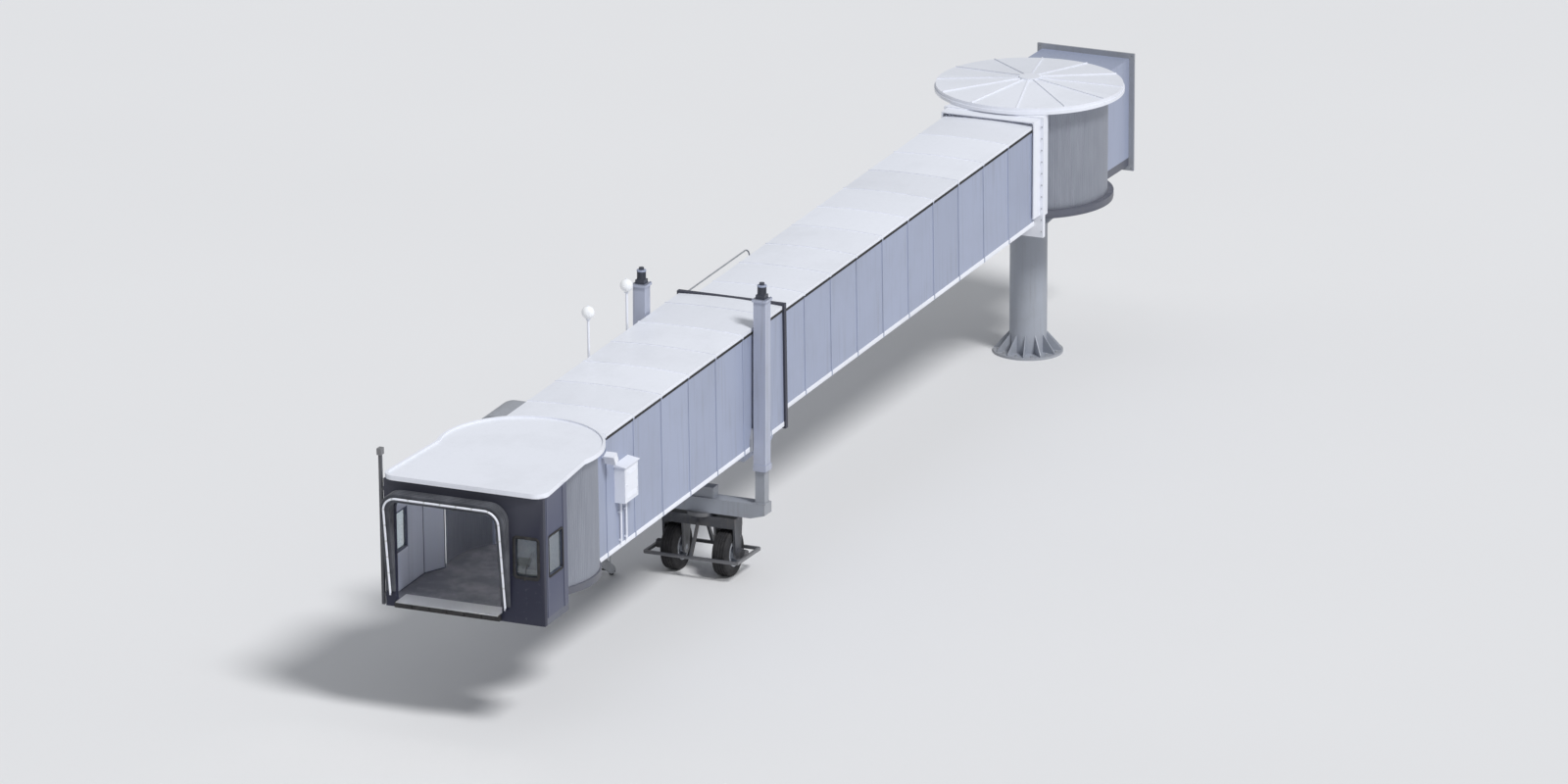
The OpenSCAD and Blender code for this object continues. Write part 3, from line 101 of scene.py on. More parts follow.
def in_tunnel(points):
    """Points (u, v, w) of the sloping tunnels, turned and moved into the bridge's frame."""
    return hinge + np.asarray(points, float) @ tunnel_axes


def in_cab(points):
    """Points (x, y, w) measured from the cab's axis, moved into the bridge's frame."""
    return in_tunnel(np.asarray(points, float) + [cab_at, 0, 0])


print("cab axis", in_cab([0, 0, 0]).round(3), "drive column", in_tunnel([drive_u, 0, 0]).round(3))

# %% [markdown]
# ## Making meshes
# A surface is a function of two parameters, worked out on a grid: numpy computes all its points at once,
# and the faces are the grid's cells. Nuts, louvres and lamps are one small shape stamped at many places.
# A shape is a pair: its points, and its faces as lists of point numbers.

# %% A piece from a shape
finishes = {}


def piece(name, shape, finish, body=None, place=as_it_is, smooth=True, bevel=0.0):
    """A Blender object of a shape at its place: doubles merged, faces turned outwards, riding on its body."""
    points, faces = shape
    mesh = bpy.data.meshes.new(name)
    mesh.from_pydata(place(points).tolist(), [], faces)
    cleaner = bmesh.new()
    cleaner.from_mesh(mesh)
    bmesh.ops.remove_doubles(cleaner, verts=cleaner.verts, dist=1e-5)
    bmesh.ops.recalc_face_normals(cleaner, faces=cleaner.faces)
    cleaner.to_mesh(mesh)
    cleaner.free()
    mesh.materials.append(finishes[finish])
    if smooth:
        mesh.shade_smooth()
        mesh.set_sharp_from_angle(angle=np.radians(38))
    obj = bpy.data.objects.new(name, mesh)
    bpy.context.scene.collection.objects.link(obj)
    if bevel:
        rounding = obj.modifiers.new("rounding", "BEVEL")
        rounding.width, rounding.segments = bevel, 2
        rounding.limit_method = "ANGLE"
    if body:
        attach(obj, body)
    return obj


# %% Shapes moved, turned and repeated
facing_x = np.array([y_axis, z_axis, x_axis])
facing_y = np.array([x_axis, -z_axis, y_axis])


def joined(*shapes):
    """Several shapes as one."""
    points, faces, start = [], [], 0
    for part_points, part_faces in shapes:
        points.append(np.asarray(part_points, float))
        faces += [[k + start for k in f] for f in part_faces]
        start += len(part_points)
    return np.concatenate(points), faces


def stamped(shape, places):
    """One shape repeated at each of the places, which are offsets."""
    return joined(*[moved(shape, place) for place in places])


def moved(shape, offset):
    """A shape moved by an offset."""
    return np.asarray(shape[0]) + np.asarray(offset, float), shape[1]


def resized(shape, factor):
    """A shape made larger or smaller, by one factor or by one for each axis."""
    return np.asarray(shape[0]) * factor, shape[1]


def turned(shape, matrix):
    """A shape turned by a 3x3 matrix whose rows say where its x, y and z go."""
    return np.asarray(shape[0]) @ np.asarray(matrix, float), shape[1]


def round_places(count, radius, first=0.0):
    """Pairs (r cos a, r sin a) at equal angles a, counted from the first, which is in degrees."""
    a = np.radians(first + np.arange(count) * 360.0 / count)
    return radius * np.stack([np.cos(a), np.sin(a)], -1)


# %% Boxes, turned shapes and sweeps


def grid_faces(rows, columns, wrap_rows=False, wrap_columns=False):
    """The cells of a grid of points, as quads; wrapping joins the last row or column to the first."""
    i = np.arange(rows if wrap_rows else rows - 1)[:, None]
    j = np.arange(columns if wrap_columns else columns - 1)[None, :]
    below, beside = (i + 1) % rows, (j + 1) % columns
    cells = [i * columns + j, i * columns + beside, below * columns + beside, below * columns + j]
    return np.stack(np.broadcast_arrays(*cells), -1).reshape(-1, 4).tolist()


def tube_faces(rows, columns):
    """The faces round a row of closed rings, with a lid on the first ring and on the last."""
    lids = [list(range(columns))[::-1], list(range((rows - 1) * columns, rows * columns))]
    return grid_faces(rows, columns, wrap_columns=True) + lids


def box(low, high):
    """The eight corners and six faces between two corners."""
    low, high = np.asarray(low, float), np.asarray(high, float)
    corners = np.array([[i, j, k] for k in (0, 1) for j in (0, 1) for i in (0, 1)], float)
    faces = [[0, 2, 3, 1], [4, 5, 7, 6], [0, 1, 5, 4], [2, 6, 7, 3], [0, 4, 6, 2], [1, 3, 7, 5]]
    return low + corners * (high - low), faces


def lathe(profile, sides=32):
    """A profile of (radius, height) pairs spun round the z axis: x = r cos a, y = r sin a, z = h."""
    r, h = np.asarray(profile, float).T
    a = np.linspace(0, 2 * np.pi, sides, endpoint=False)[:, None]
    points = np.stack(np.broadcast_arrays(r * np.cos(a), r * np.sin(a), h), -1)
    return points.reshape(-1, 3), grid_faces(sides, len(r), wrap_rows=True)


def sweep(profile, path, side, up, closed=False):
    """A closed profile of (s, t) carried along a path: each point is path + s * side + t * up."""
    profile, path = np.asarray(profile, float), np.asarray(path, float)
    side, up = np.broadcast_to(side, path.shape), np.broadcast_to(up, path.shape)
    points = path[:, None] + profile[None, :, :1] * side[:, None] + profile[None, :, 1:] * up[:, None]
    rows, columns = points.shape[:2]
    faces = grid_faces(rows, columns, True, True) if closed else tube_faces(rows, columns)
    return points.reshape(-1, 3), faces


def strip(profile, side, y, w, start, end):
    """A profile of (outwards, up) carried straight along one side of the bridge, from start to end."""
    line = [[start, side * y, w], [end, side * y, w]]
    return sweep(np.asarray(profile, float) * [side, 1], line, y_axis, z_axis)


def tube(path, radius, sides=12):
    """A round bar along a path: each ring is square to the path, turned as little as can be from the last."""
    path = np.asarray(path, float)
    ways = np.gradient(path, axis=0)
    ways /= np.linalg.norm(ways, axis=1, keepdims=True)
    side = np.cross(ways[0], z_axis if abs(ways[0][2]) < 0.9 else y_axis)
    sides_along = []
    for way in ways:
        side = side - way * (side @ way)
        side = side / np.linalg.norm(side)
        sides_along.append(side)
    sides_along = np.array(sides_along)
    return sweep(round_places(sides, radius), path, sides_along, np.cross(ways, sides_along))


def rounded(corners, radius, steps=5):
    """A path through the corners, each inner one cut by a curve that starts and ends the radius from it."""
    corners = np.asarray(corners, float)
    before, after = corners[:-2] - corners[1:-1], corners[2:] - corners[1:-1]
    before /= np.linalg.norm(before, axis=1, keepdims=True)
    after /= np.linalg.norm(after, axis=1, keepdims=True)
    t = np.linspace(0, 1, steps)[None, :, None]
    a = (corners[1:-1] + before * radius)[:, None]
    b = (corners[1:-1] + after * radius)[:, None]
    bends = (1 - t) ** 2 * a + 2 * t * (1 - t) * corners[1:-1][:, None] + t ** 2 * b
    return np.concatenate([corners[:1], bends.reshape(-1, 3), corners[-1:]])


def cut_rectangle(half, low, high, cut):
    """The outline of a rectangle with its corners cut off."""
    return [(-half, low + cut), (-half, high - cut), (cut - half, high), (half - cut, high),
            (half, high - cut), (half, low + cut), (half - cut, low), (cut - half, low)]


nut = lathe([(0, 0), (0.034, 0), (0.034, 0.006), (0.027, 0.006), (0.027, 0.03), (0.014, 0.03), (0.014, 0.05),
             (0.011, 0.055), (0, 0.055)], 6)
print("helpers ready; a nut has", len(nut[1]), "faces")

# %% [markdown]
# ## Effects that several materials share
# Paint outdoors is never one colour. Rain leaves pale streaks down a wall, each panel comes from its own
# batch, and dust lies where water stands. Each effect is a node group with its own inputs, built once.

# %% A node tree with short words for its nodes


class Nodes:
    """A node tree, with the coordinates that its textures use."""

    def __init__(self, tree):
        self.tree = tree
        self.place = None

    def fill(self, sockets, inputs):
        """Sets each named socket to a value, or links it from a socket. A colour is three numbers."""
        for key, value in inputs.items():
            if isinstance(value, bpy.types.NodeSocket):
                self.tree.links.new(value, sockets[key])
            else:
                sockets[key].default_value = (*value, 1) if sockets[key].type == "RGBA" else value

    def add(self, kind, inputs, **settings):
        """A node with its settings and its inputs."""
        made = self.tree.nodes.new("ShaderNode" + kind)
        for key, value in settings.items():
            setattr(made, key, value)
        self.fill(made.inputs, inputs)
        return made.outputs

    def group(self, nodes, inputs):
        """A copy of a node group with its own values, on this tree's coordinates unless others are given."""
        return self.add("Group", {"Vector": self.place, **inputs}, node_tree=nodes.tree)

    def math(self, operation, *values):
        """The result of a Math node."""
        return self.add("Math", dict(enumerate(values)), operation=operation)[0]

    def times(self, a, b):
        """a * b"""
        return self.math("MULTIPLY", a, b)

    def line(self, x, factor, start):
        """x * factor + start"""
        return self.math("MULTIPLY_ADD", x, factor, start)

    def ramp(self, value, low, high):
        """0 below low, 1 above high and smooth between."""
        return self.add("MapRange", {"Value": value, "From Min": low, "From Max": high},
                        interpolation_type="SMOOTHSTEP")[0]

    def mix(self, factor, a, b):
        """A colour between a and b. The Mix node's sockets 6 and 7, and its output 2, are the colours."""
        inputs = {0: factor, 6: a, 7: b}
        return self.add("Mix", inputs, data_type="RGBA")[2]

    def noise(self, scale, detail, roughness=0.5, stretch=None):
        """Noise on this tree's coordinates, which can be scaled apart along the three axes first."""
        vector = self.add("Mapping", {"Vector": self.place, "Scale": stretch})[0] if stretch else self.place
        inputs = {"Vector": vector, "Scale": scale, "Detail": detail, "Roughness": roughness}
        return self.add("TexNoise", inputs)[0]

    def wave(self, scale, way, distortion=0.0):
        """Bands that follow each other along one axis."""
        return self.add("TexWave", {"Vector": self.place, "Scale": scale, "Distortion": distortion},
                        bands_direction=way)["Fac"]

    def part(self, vector, axis):
        """One of the three numbers of a vector."""
        return self.add("SeparateXYZ", {"Vector": vector})["XYZ".index(axis)]


def new_group(name, inputs, outputs):
    """A node group with named sockets: its nodes, what comes in and what goes out."""
    group = bpy.data.node_groups.new(name, "ShaderNodeTree")
    group.interface.new_socket("Vector", in_out="INPUT", socket_type="NodeSocketVector")
    for key, value in inputs.items():
        kind = "NodeSocketFloat" if isinstance(value, float) else "NodeSocketColor"
        socket = group.interface.new_socket(key, in_out="INPUT", socket_type=kind)
        socket.default_value = value
    for key in outputs:
        kind = "NodeSocketColor" if key == "Colour" else "NodeSocketFloat"
        group.interface.new_socket(key, in_out="OUTPUT", socket_type=kind)
    made = Nodes(group)
    ins, outs = group.nodes.new("NodeGroupInput").outputs, group.nodes.new("NodeGroupOutput").inputs
    made.place = ins["Vector"]
    return made, ins, outs


print("node helpers ready")

# %% Weather on paint
weather, ins, outs = new_group(
    "Weathered paint",
    {"Colour": (0.5, 0.5, 0.5, 1), "Dirt": (0.2, 0.19, 0.17, 1), "Streaks": 0.3, "Patches": 0.3,
     "Panel start": 0.0, "Panel length": 1.5, "Gloss": 0.4},
    ["Colour", "Roughness", "Height"])
patch = weather.noise(0.7, 5.0, 0.6)
streak = weather.noise(1.6, 4.0, stretch=(7.0, 7.0, 0.35))
speck = weather.noise(38.0, 3.0)
past_start = weather.math("SUBTRACT", weather.part(weather.place, "X"), ins["Panel start"])
panel_number = weather.math("FLOOR", weather.math("DIVIDE", past_start, ins["Panel length"]))
batch = weather.add("TexWhiteNoise", {"W": panel_number}, noise_dimensions="1D")[0]
tone = weather.line(weather.math("SUBTRACT", batch, 0.5), 0.09, 1.0)
tinted = weather.add("VectorMath", {0: ins["Colour"], "Scale": tone}, operation="SCALE")[0]
soiled = weather.times(weather.ramp(patch, 0.42, 0.72), ins["Patches"])
runs = weather.times(weather.ramp(streak, 0.50, 0.74), ins["Streaks"])
mask = weather.math("MINIMUM", weather.math("ADD", soiled, runs), 0.85)
weather.fill(outs, {"Colour": weather.mix(mask, tinted, ins["Dirt"]),
                    "Roughness": weather.line(mask, 0.35, ins["Gloss"]),
                    "Height": weather.line(patch, 0.6, weather.times(speck, 0.25))})
print("group", weather.tree.name, "has", len(weather.tree.nodes), "nodes")

# %% Scuffs where the metal is handled
scuffs, ins, outs = new_group("Scuffed edges", {"Amount": 0.3, "Size": 9.0}, ["Mask"])
worn = scuffs.ramp(scuffs.add("NewGeometry", {})["Pointiness"], 0.52, 0.62)
chips = scuffs.ramp(scuffs.noise(ins["Size"], 6.0, 0.7), 0.60, 0.68)
scuffs.fill(outs, {"Mask": scuffs.times(scuffs.math("MAXIMUM", worn, chips), ins["Amount"])})
print("group", scuffs.tree.name)

# %% Ribs, as on rubber mats
ribs, ins, outs = new_group("Ribs", {"Pitch": 0.012}, ["Height", "Groove"])
pitch_per_radian = ribs.math("DIVIDE", ins["Pitch"], 2 * np.pi)
swell = ribs.math("SINE", ribs.math("DIVIDE", ribs.part(ribs.place, "Y"), pitch_per_radian))
ribs.fill(outs, {"Height": ribs.ramp(swell, -0.4, 0.4), "Groove": ribs.ramp(swell, 0.2, -0.6)})
print("group", ribs.tree.name)

# %% [markdown]
# ## The materials
# Each finish of the record becomes one material. The shader itself stays in the material, with the plain
# numbers set on it, and only what changes over the surface comes from the groups.

# %% A start and an end for every material


class Finish(Nodes):
    """A material: a Principled shader with its plain numbers, and Object coordinates to build on."""

    def __init__(self, name, plain):
        self.material = bpy.data.materials.new(name)
        self.material.use_nodes = True
        super().__init__(self.material.node_tree)
        self.shader = self.tree.nodes["Principled BSDF"].inputs
        self.fill(self.shader, plain)
        self.place = self.add("TexCoord", {})["Object"]

    def surface(self, colour, roughness=None, height=None, strength=0.0, distance=0.0):
        """Links what changes over the surface to the shader, the height by a Bump node."""
        links = {"Base Color": colour}
        if roughness is not None:
            links["Roughness"] = roughness
        if height is not None:
            relief = {"Height": height, "Strength": strength, "Distance": distance}
            links["Normal"] = self.add("Bump", relief)[0]
        self.fill(self.shader, links)
        return self.material


def paint(name, colour, gloss=0.38, streaks=0.25, patches=0.2, dirt=(0.20, 0.19, 0.17), step=1.5, start=0.0,
          scuffed=0.0, coat=0.12):
    """Satin paint on steel, with its weather and, where it is handled, its scuffs. A panel's batch of paint
    starts every step metres, counted from start."""
    coated = Finish(name, {"Coat Weight": coat, "Coat Roughness": 0.3})
    level = coated.add("Mapping", {"Vector": coated.place, "Rotation": (0, -slope, 0)})[0]
    skin = coated.group(weather, {
        "Vector": level, "Colour": colour, "Dirt": dirt, "Streaks": streaks, "Patches": patches,
        "Panel start": start, "Panel length": step, "Gloss": gloss})
    surface = skin["Colour"]
    if scuffed:
        bare = coated.group(scuffs, {"Amount": scuffed})["Mask"]
        surface = coated.mix(bare, surface, (0.30, 0.30, 0.31))
    return coated.surface(surface, skin["Roughness"], skin["Height"], 0.25, 0.004)


def roof_paint(name, start=0.0, step=9.0):
    """The white of the roofs and the trim."""
    return paint(name, (0.83, 0.85, 0.92), gloss=0.34, streaks=0.05, patches=0.12, dirt=(0.46, 0.47, 0.50),
                 start=start, step=step)


def wall_paint(name, start=0.0, step=1.5):
    """The blue grey of the walls."""
    return paint(name, (0.33, 0.37, 0.50), gloss=0.36, streaks=0.16, patches=0.10, dirt=(0.20, 0.20, 0.20),
                 start=start, step=step)


# %% Paints. A tunnel's batches of paint change at the joints of its panels
panel_step = 1.5
hinge_along = hinge[0] * np.cos(slope) - hinge[2] * np.sin(slope)
first_joints = {"inner": inner_start + 0.03, "outer": outer_start + 0.73}
for tunnel, first_joint in first_joints.items():
    panel_start = (hinge_along + first_joint) % panel_step
    finishes[f"{tunnel}_roof_paint"] = roof_paint(f"{tunnel} roof white", panel_start, panel_step)
    finishes[f"{tunnel}_wall_paint"] = wall_paint(f"{tunnel} wall grey", panel_start, panel_step)
finishes["painted_white"] = roof_paint("roof white")
finishes["painted_grey"] = wall_paint("wall grey")
finishes["painted_steel"] = paint("column grey", (0.36, 0.385, 0.44), gloss=0.42, streaks=0.2, scuffed=0.35)
finishes["dark_steel"] = paint("chassis grey", (0.060, 0.064, 0.078), gloss=0.45, streaks=0.2, patches=0.35,
                               dirt=(0.17, 0.15, 0.12), scuffed=0.5)
# The cab's blue grey is partly the cab's own darker paint and mostly painted shade: the shade that the cab's
# side stands in is painted into it.
finishes["cab_paint"] = paint("cab grey with painted shade", (0.060, 0.069, 0.125), gloss=0.46, streaks=0.22, patches=0.15,
                              dirt=(0.125, 0.135, 0.175), step=0.9, scuffed=0.12, coat=0.03)
# Near-black blue on the cab's front and the end collar: painted shade, standing for the shade on the front
# face and for the shadow gap at the step between the tunnels.
finishes["front_paint"] = paint("front painted shade blue", (0.010, 0.012, 0.034), gloss=0.55, streaks=0.20,
                                dirt=(0.034, 0.037, 0.062), step=0.9, scuffed=0.12, coat=0.0)
finishes["lining"] = paint("pale lining", (0.46, 0.49, 0.60), gloss=0.30, streaks=0.05, patches=0.10,
                           dirt=(0.34, 0.33, 0.32), step=0.6)
print("paints", sorted(finishes))

# %% Lift columns: pale tubes with dark gear motors on top
column = Finish("lift column paint", {"Coat Weight": 0.12, "Coat Roughness": 0.3})
skin = column.group(weather, {
    "Colour": (0.42, 0.45, 0.56), "Dirt": (0.22, 0.22, 0.22), "Streaks": 0.25, "Patches": 0.15,
    "Panel length": 9.0, "Gloss": 0.38})
above = column.ramp(column.part(column.place, "Z"), lift_top - 0.001, lift_top + 0.001)
finishes["lift_paint"] = column.surface(
    column.mix(above, skin["Colour"], (0.045, 0.05, 0.07)), skin["Roughness"], skin["Height"], 0.25, 0.004)
print("dark above", lift_top, "m")

# %% Galvanised steel, with its spangle
zinc = Finish("galvanised steel", {"Metallic": 0.85})
spangle = zinc.add("TexVoronoi", {"Vector": zinc.place, "Scale": 45.0})["Color"]
grain = zinc.add("SeparateColor", {"Color": spangle})[0]
cloud = zinc.noise(3.0, 5.0)
shade = zinc.line(grain, 0.35, zinc.times(cloud, 0.6))
finishes["galvanised_steel"] = zinc.surface(
    zinc.mix(shade, (0.42, 0.43, 0.45), (0.68, 0.70, 0.73)), zinc.line(grain, 0.22, 0.34), cloud, 0.2, 0.002)
print("spangle about", round(1000 / 45), "mm across")

# %% Slats of the roller curtains, aluminium darkened by painted shade, and brushed sills and handrails of aluminium
# The slats' greys sit well below bare aluminium: painted shade, for the shade under the rotunda's cap where
# the curtains stand.
slats = Finish("curtain slats with painted shade", {"Metallic": 0.55})
brushed = slats.noise(2.0, 4.0, stretch=(60.0, 60.0, 1.2))
smear = slats.noise(1.5, 3.0, stretch=(5.0, 5.0, 0.6))
shade = slats.line(brushed, 0.4, slats.times(smear, 0.5))
finishes["curtain_slats"] = slats.surface(
    slats.mix(shade, (0.20, 0.215, 0.26), (0.44, 0.46, 0.52)), slats.line(smear, 0.3, 0.28),
    brushed, 0.15, 0.001)

sheet = Finish("brushed aluminium", {"Metallic": 0.9})
scratches = sheet.noise(3.0, 5.0, stretch=(2.0, 90.0, 90.0))
handled = sheet.line(sheet.noise(4.0, 4.0), 0.25, 0.25)
finishes["aluminium"] = sheet.surface(
    sheet.mix(scratches, (0.60, 0.61, 0.63), (0.80, 0.81, 0.83)), handled, scratches, 0.12, 0.0005)
print("bare metals", 3)

# %% Floors: ribbed rubber on top, chassis paint on their sides and underneath
mat = Finish("floor rubber", {})
rib = mat.group(ribs, {"Pitch": 0.02})
trodden = mat.ramp(mat.noise(1.3, 6.0, 0.65), 0.40, 0.70)
base = mat.mix(trodden, (0.125, 0.132, 0.170), (0.250, 0.255, 0.285))
top = mat.mix(mat.times(rib["Groove"], 0.6), base, (0.05, 0.05, 0.06))
upward = mat.ramp(mat.part(mat.add("NewGeometry", {})["True Normal"], "Z"), 0.6, 0.9)
skin = mat.group(weather, {
    "Colour": (0.105, 0.112, 0.145), "Dirt": (0.20, 0.19, 0.18), "Streaks": 0.1, "Patches": 0.35,
    "Panel length": 2.4, "Gloss": 0.45})
roughness = mat.line(skin["Roughness"], 0.9, mat.times(upward, 0.25))
finishes["floor_covering"] = mat.surface(
    mat.mix(upward, skin["Colour"], top), roughness, mat.times(rib["Height"], upward), 0.6, 0.002)
print("ribs every", 20, "mm")

# %% Rubber of the seals, the bumper, the castors and the tyres


def rubber(name, colour, dust, dusty):
    """Matt rubber with pale dust on its patches."""
    black = Finish(name, {"Specular IOR Level": 0.35})
    cloud = black.noise(6.0, 7.0, 0.7)
    dusted = black.times(black.ramp(cloud, 0.30, 0.95), dusty)
    grain = black.times(black.noise(160.0, 2.0), 0.3)
    return black.surface(black.mix(dusted, colour, dust), black.line(cloud, 0.3, 0.55), grain, 0.4, 0.002)


finishes["castor_rubber"] = rubber("bumper rubber", (0.018, 0.018, 0.02), (0.16, 0.15, 0.14), 0.35)
finishes["tyre_rubber"] = rubber("tyre rubber", (0.018, 0.018, 0.021), (0.105, 0.100, 0.096), 0.5)
print("finishes so far", len(finishes))

# %% Coated canopy cloth
cloth = Finish("canopy cloth", {"Sheen Weight": 0.25, "Sheen Roughness": 0.5})
woven = cloth.times(cloth.wave(140.0, "Z", 0.4), cloth.wave(140.0, "Y", 0.4))
faded = cloth.mix(cloth.ramp(cloth.noise(2.2, 5.0), 0.35, 0.75), (0.030, 0.033, 0.045), (0.085, 0.090, 0.108))
finishes["canopy_fabric"] = cloth.surface(
    cloth.mix(cloth.times(woven, 0.25), faded, (0.12, 0.125, 0.14)), cloth.line(woven, 0.15, 0.68),
    woven, 0.5, 0.001)
print("canopy cloth ready")

# %% Window glass, lamp glass and the lights' lenses
glass = Finish("window glass", {"Transmission Weight": 0.95, "IOR": 1.45})
film = glass.noise(2.5, 6.0)
finishes["window_glass"] = glass.surface(
    glass.mix(glass.ramp(film, 0.4, 0.8), (0.62, 0.70, 0.74), (0.70, 0.74, 0.76)),
    glass.line(film, 0.12, 0.02))

lamp = Finish("lamp glass", {"Emission Color": (1.0, 0.98, 0.94), "Emission Strength": 0.12})
haze = lamp.noise(5.0, 3.0)
finishes["lamp_glass"] = lamp.surface(
    lamp.mix(haze, (0.86, 0.87, 0.89), (0.74, 0.76, 0.79)), lamp.line(haze, 0.2, 0.12))

light = Finish("light panel", {"Emission Color": (1.0, 0.97, 0.90), "Emission Strength": 22.0})
lens = light.wave(30.0, "X")
finishes["light_panel"] = light.surface(
    light.mix(lens, (0.80, 0.80, 0.78), (0.92, 0.92, 0.90)), light.line(lens, 0.2, 0.3))
missing = {m["slot"] for m in record["materials"]} - set(finishes)
print("finishes", len(finishes), "still missing", missing)

# %% Every node of the CAD model gets the finish of its slot, or its own
own_finish = {
    # The cab's front and the end collar take the near-black front paint, which is painted shade; the cab's
    # walls take a grey darkened by painted shade.
    "cab_walls": "cab_paint", "cab_front": "front_paint", "outer_collar": "front_paint",
    "lift_columns": "lift_paint", "inner_roof": "inner_roof_paint", "outer_roof": "outer_roof_paint",
    "inner_walls": "inner_wall_paint", "outer_wall_left": "outer_wall_paint",
    "outer_wall_right": "outer_wall_paint",
}
for part in record["subparts"]:
    materials = nodes[part["node"]].data.materials
    materials.clear()
    materials.append(finishes[own_finish.get(part["node"], part["material_slot"])])
print("dressed", len(record["subparts"]), "nodes")

# %% [markdown]
# ## The roller curtains
# Round the rotunda and round the cab, the gap between the fixed and the turning part is closed by a curtain
# of upright slats that winds onto a roller beside the portal. CAD has three curved leaves there. Here it is
# one chain of slats, each a shallow arch with a groove at each joint.

# %% The chain of slats


def slat_curtain(name, side, end, count, radius, start, low, high, place, bodies):
    """Slats on an arc: radius(a) = r + 9 mm * sin(pi * f) ** 0.6, f being the share of the slat passed."""
    f = np.linspace(0, 1, 6, endpoint=False)
    share = np.append(((np.arange(count)[:, None] + f) / count).ravel(), 1.0)
    bulge = np.append(np.tile(0.009 * np.sin(np.pi * f) ** 0.6, count), 0.0)
    a = side * np.radians(start + (end - start) * share)
    outer, inner = radius + bulge, radius - 0.006 + bulge * 0.7
    ring = np.concatenate([np.stack([outer * np.cos(a), outer * np.sin(a)], -1),
                           np.stack([inner * np.cos(a), inner * np.sin(a)], -1)[::-1]])
    levels = [low, low + 0.02, high - 0.02, high]
    points = np.concatenate([np.column_stack([ring, np.full(len(ring), z)]) for z in levels])
    half, last = len(share), (len(levels) - 1) * len(ring)
    lid = [[i, i + 1, 2 * half - 2 - i, 2 * half - 1 - i] for i in range(half - 1)]
    faces = grid_faces(len(levels), len(ring), wrap_columns=True)
    faces += [q[::-1] for q in lid] + [[k + last for k in q] for q in lid]
    obj = piece(name, (points, faces), "curtain_slats", place=place)
    edges = side * np.radians([start, end])
    ends = place(np.column_stack([radius * np.cos(edges), radius * np.sin(edges), [(low + high) / 2] * 2]))
    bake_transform(obj)
    return obj


rotunda = (1.893, 142.0, floor_level + 0.004, roof_z - 0.008, as_it_is, ("terminal_side", "slewing_frame"))
cab = (1.713, 131.4, outer_floor + 0.008, cab_ceiling - 0.008, in_cab, ("outer_tunnel", "cab"))
curtains = {"rotunda_slats_left": (1, 30.2, 58, *rotunda), "rotunda_slats_right": (-1, 30.2, 58, *rotunda),
            "cab_slats_left": (1, 37.2, 44, *cab), "cab_slats_right": (-1, 69.2, 30, *cab)}
made = {name: slat_curtain(name, *facts) for name, facts in curtains.items()}
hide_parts("rotunda_curtain_fixed", "rotunda_curtain_middle",
            "rotunda_curtain_moving")
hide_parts("cab_curtain_fixed", "cab_curtain_middle", "cab_curtain_moving")
print("slats", sum(facts[2] for facts in curtains.values()))

# %% [markdown]
# ## The folded canopy
# The closure that presses against an aircraft is coated cloth on hoops, folded like a fan whose pivots are
# at the two lower corners. Its surface is a function of s, the way round the opening, and t, the way from
# the cab to the front hoop. Each fold swells between two stitched creases.

# %% The way round the opening
opening_middle, opening_half, opening_top, opening_corner = -0.4, 1.30, outer_floor + 2.41, 0.22
band, canopy_low, canopy_base = 0.22, outer_floor + 0.21, 0.047
hoop_x, hoop_low = cab_face + 0.07, outer_floor + 0.15
hoop_lean = 0.30 / 2.37


def round_the_opening(count, offset, low):
    """Equal steps up one leg, round both upper corners and down the other, with the outward directions."""
    a = np.linspace(0, np.pi / 2, 16)
    arc = np.stack([np.cos(a), np.sin(a)], -1)
    centre = np.array([opening_half, opening_top]) - opening_corner
    half_line = np.concatenate([[[opening_half + offset, low]], centre + (opening_corner + offset) * arc])
    half_out = np.concatenate([[[1.0, 0.0]], arc])
    line, out = (np.concatenate([half, half[::-1] * [-1, 1]]) for half in (half_line, half_out))
    run = np.concatenate([[0], np.cumsum(np.linalg.norm(np.diff(line, axis=0), axis=1))])
    s = np.linspace(0, run[-1], count)
    return [np.stack([np.interp(s, run, part[:, k]) for k in (0, 1)], -1) for part in (line, out)]


print("the opening's outline is", round(2 * (opening_top - canopy_low) + 2 * opening_half, 2), "m long")

# %% The canopy's folds


def fold_profile(folds=4, across=10):
    """The band's closed section as (t, v), from the cab to the hoop and from the opening outwards: the outer
    side swells by 24 mm * |sin(pi * folds * t)| ** 0.55 between its creases, and the inner side by 14 mm."""
    t = np.linspace(0, 1, folds * across + 1)
    swell = np.abs(np.sin(np.pi * folds * t)) ** 0.55
    q = np.linspace(0, 1, 11)[1:-1]
    outer = np.stack([t, band - 0.025 + 0.024 * swell], -1)
    front = np.stack([1 - 0.06 * np.sin(np.pi * q), (band - 0.025) * (1 - q) + 0.016 * q], -1)
    inner = np.stack([t[::-2], 0.016 - 0.014 * swell[::-2]], -1)
    return np.concatenate([outer, front, inner])


def canopy_cloth(around=150):
    """The section stands on the outline, along its outward direction, and leans forward like a fan:
    x = t * (base + height * lean). Two slow waves along the outline crumple the outer side by 4 mm."""
    line, out = round_the_opening(around, 0.0, canopy_low)
    t, v = fold_profile().T
    run = np.linspace(0, 1, around)[:, None]
    outer_side = np.clip(v / band, 0, 1) ** 2 * (1 - 0.2 * out[:, 1:])
    v = v - 0.002 * outer_side * (1 + np.sin(61 * run + 9 * t) * np.sin(23 * run + 4))
    y = line[:, :1] + v * out[:, :1] + opening_middle
    w = line[:, 1:] + v * out[:, 1:]
    x = cab_face + 0.001 + t * (canopy_base + (w - canopy_low) * hoop_lean)
    return np.stack([x, y, w], -1).reshape(-1, 3), tube_faces(around, len(t))


folds = piece("canopy_folds", canopy_cloth(), "canopy_fabric", place=in_cab)
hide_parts("canopy")
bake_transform(folds)
print("canopy", len(folds.data.polygons), "faces")

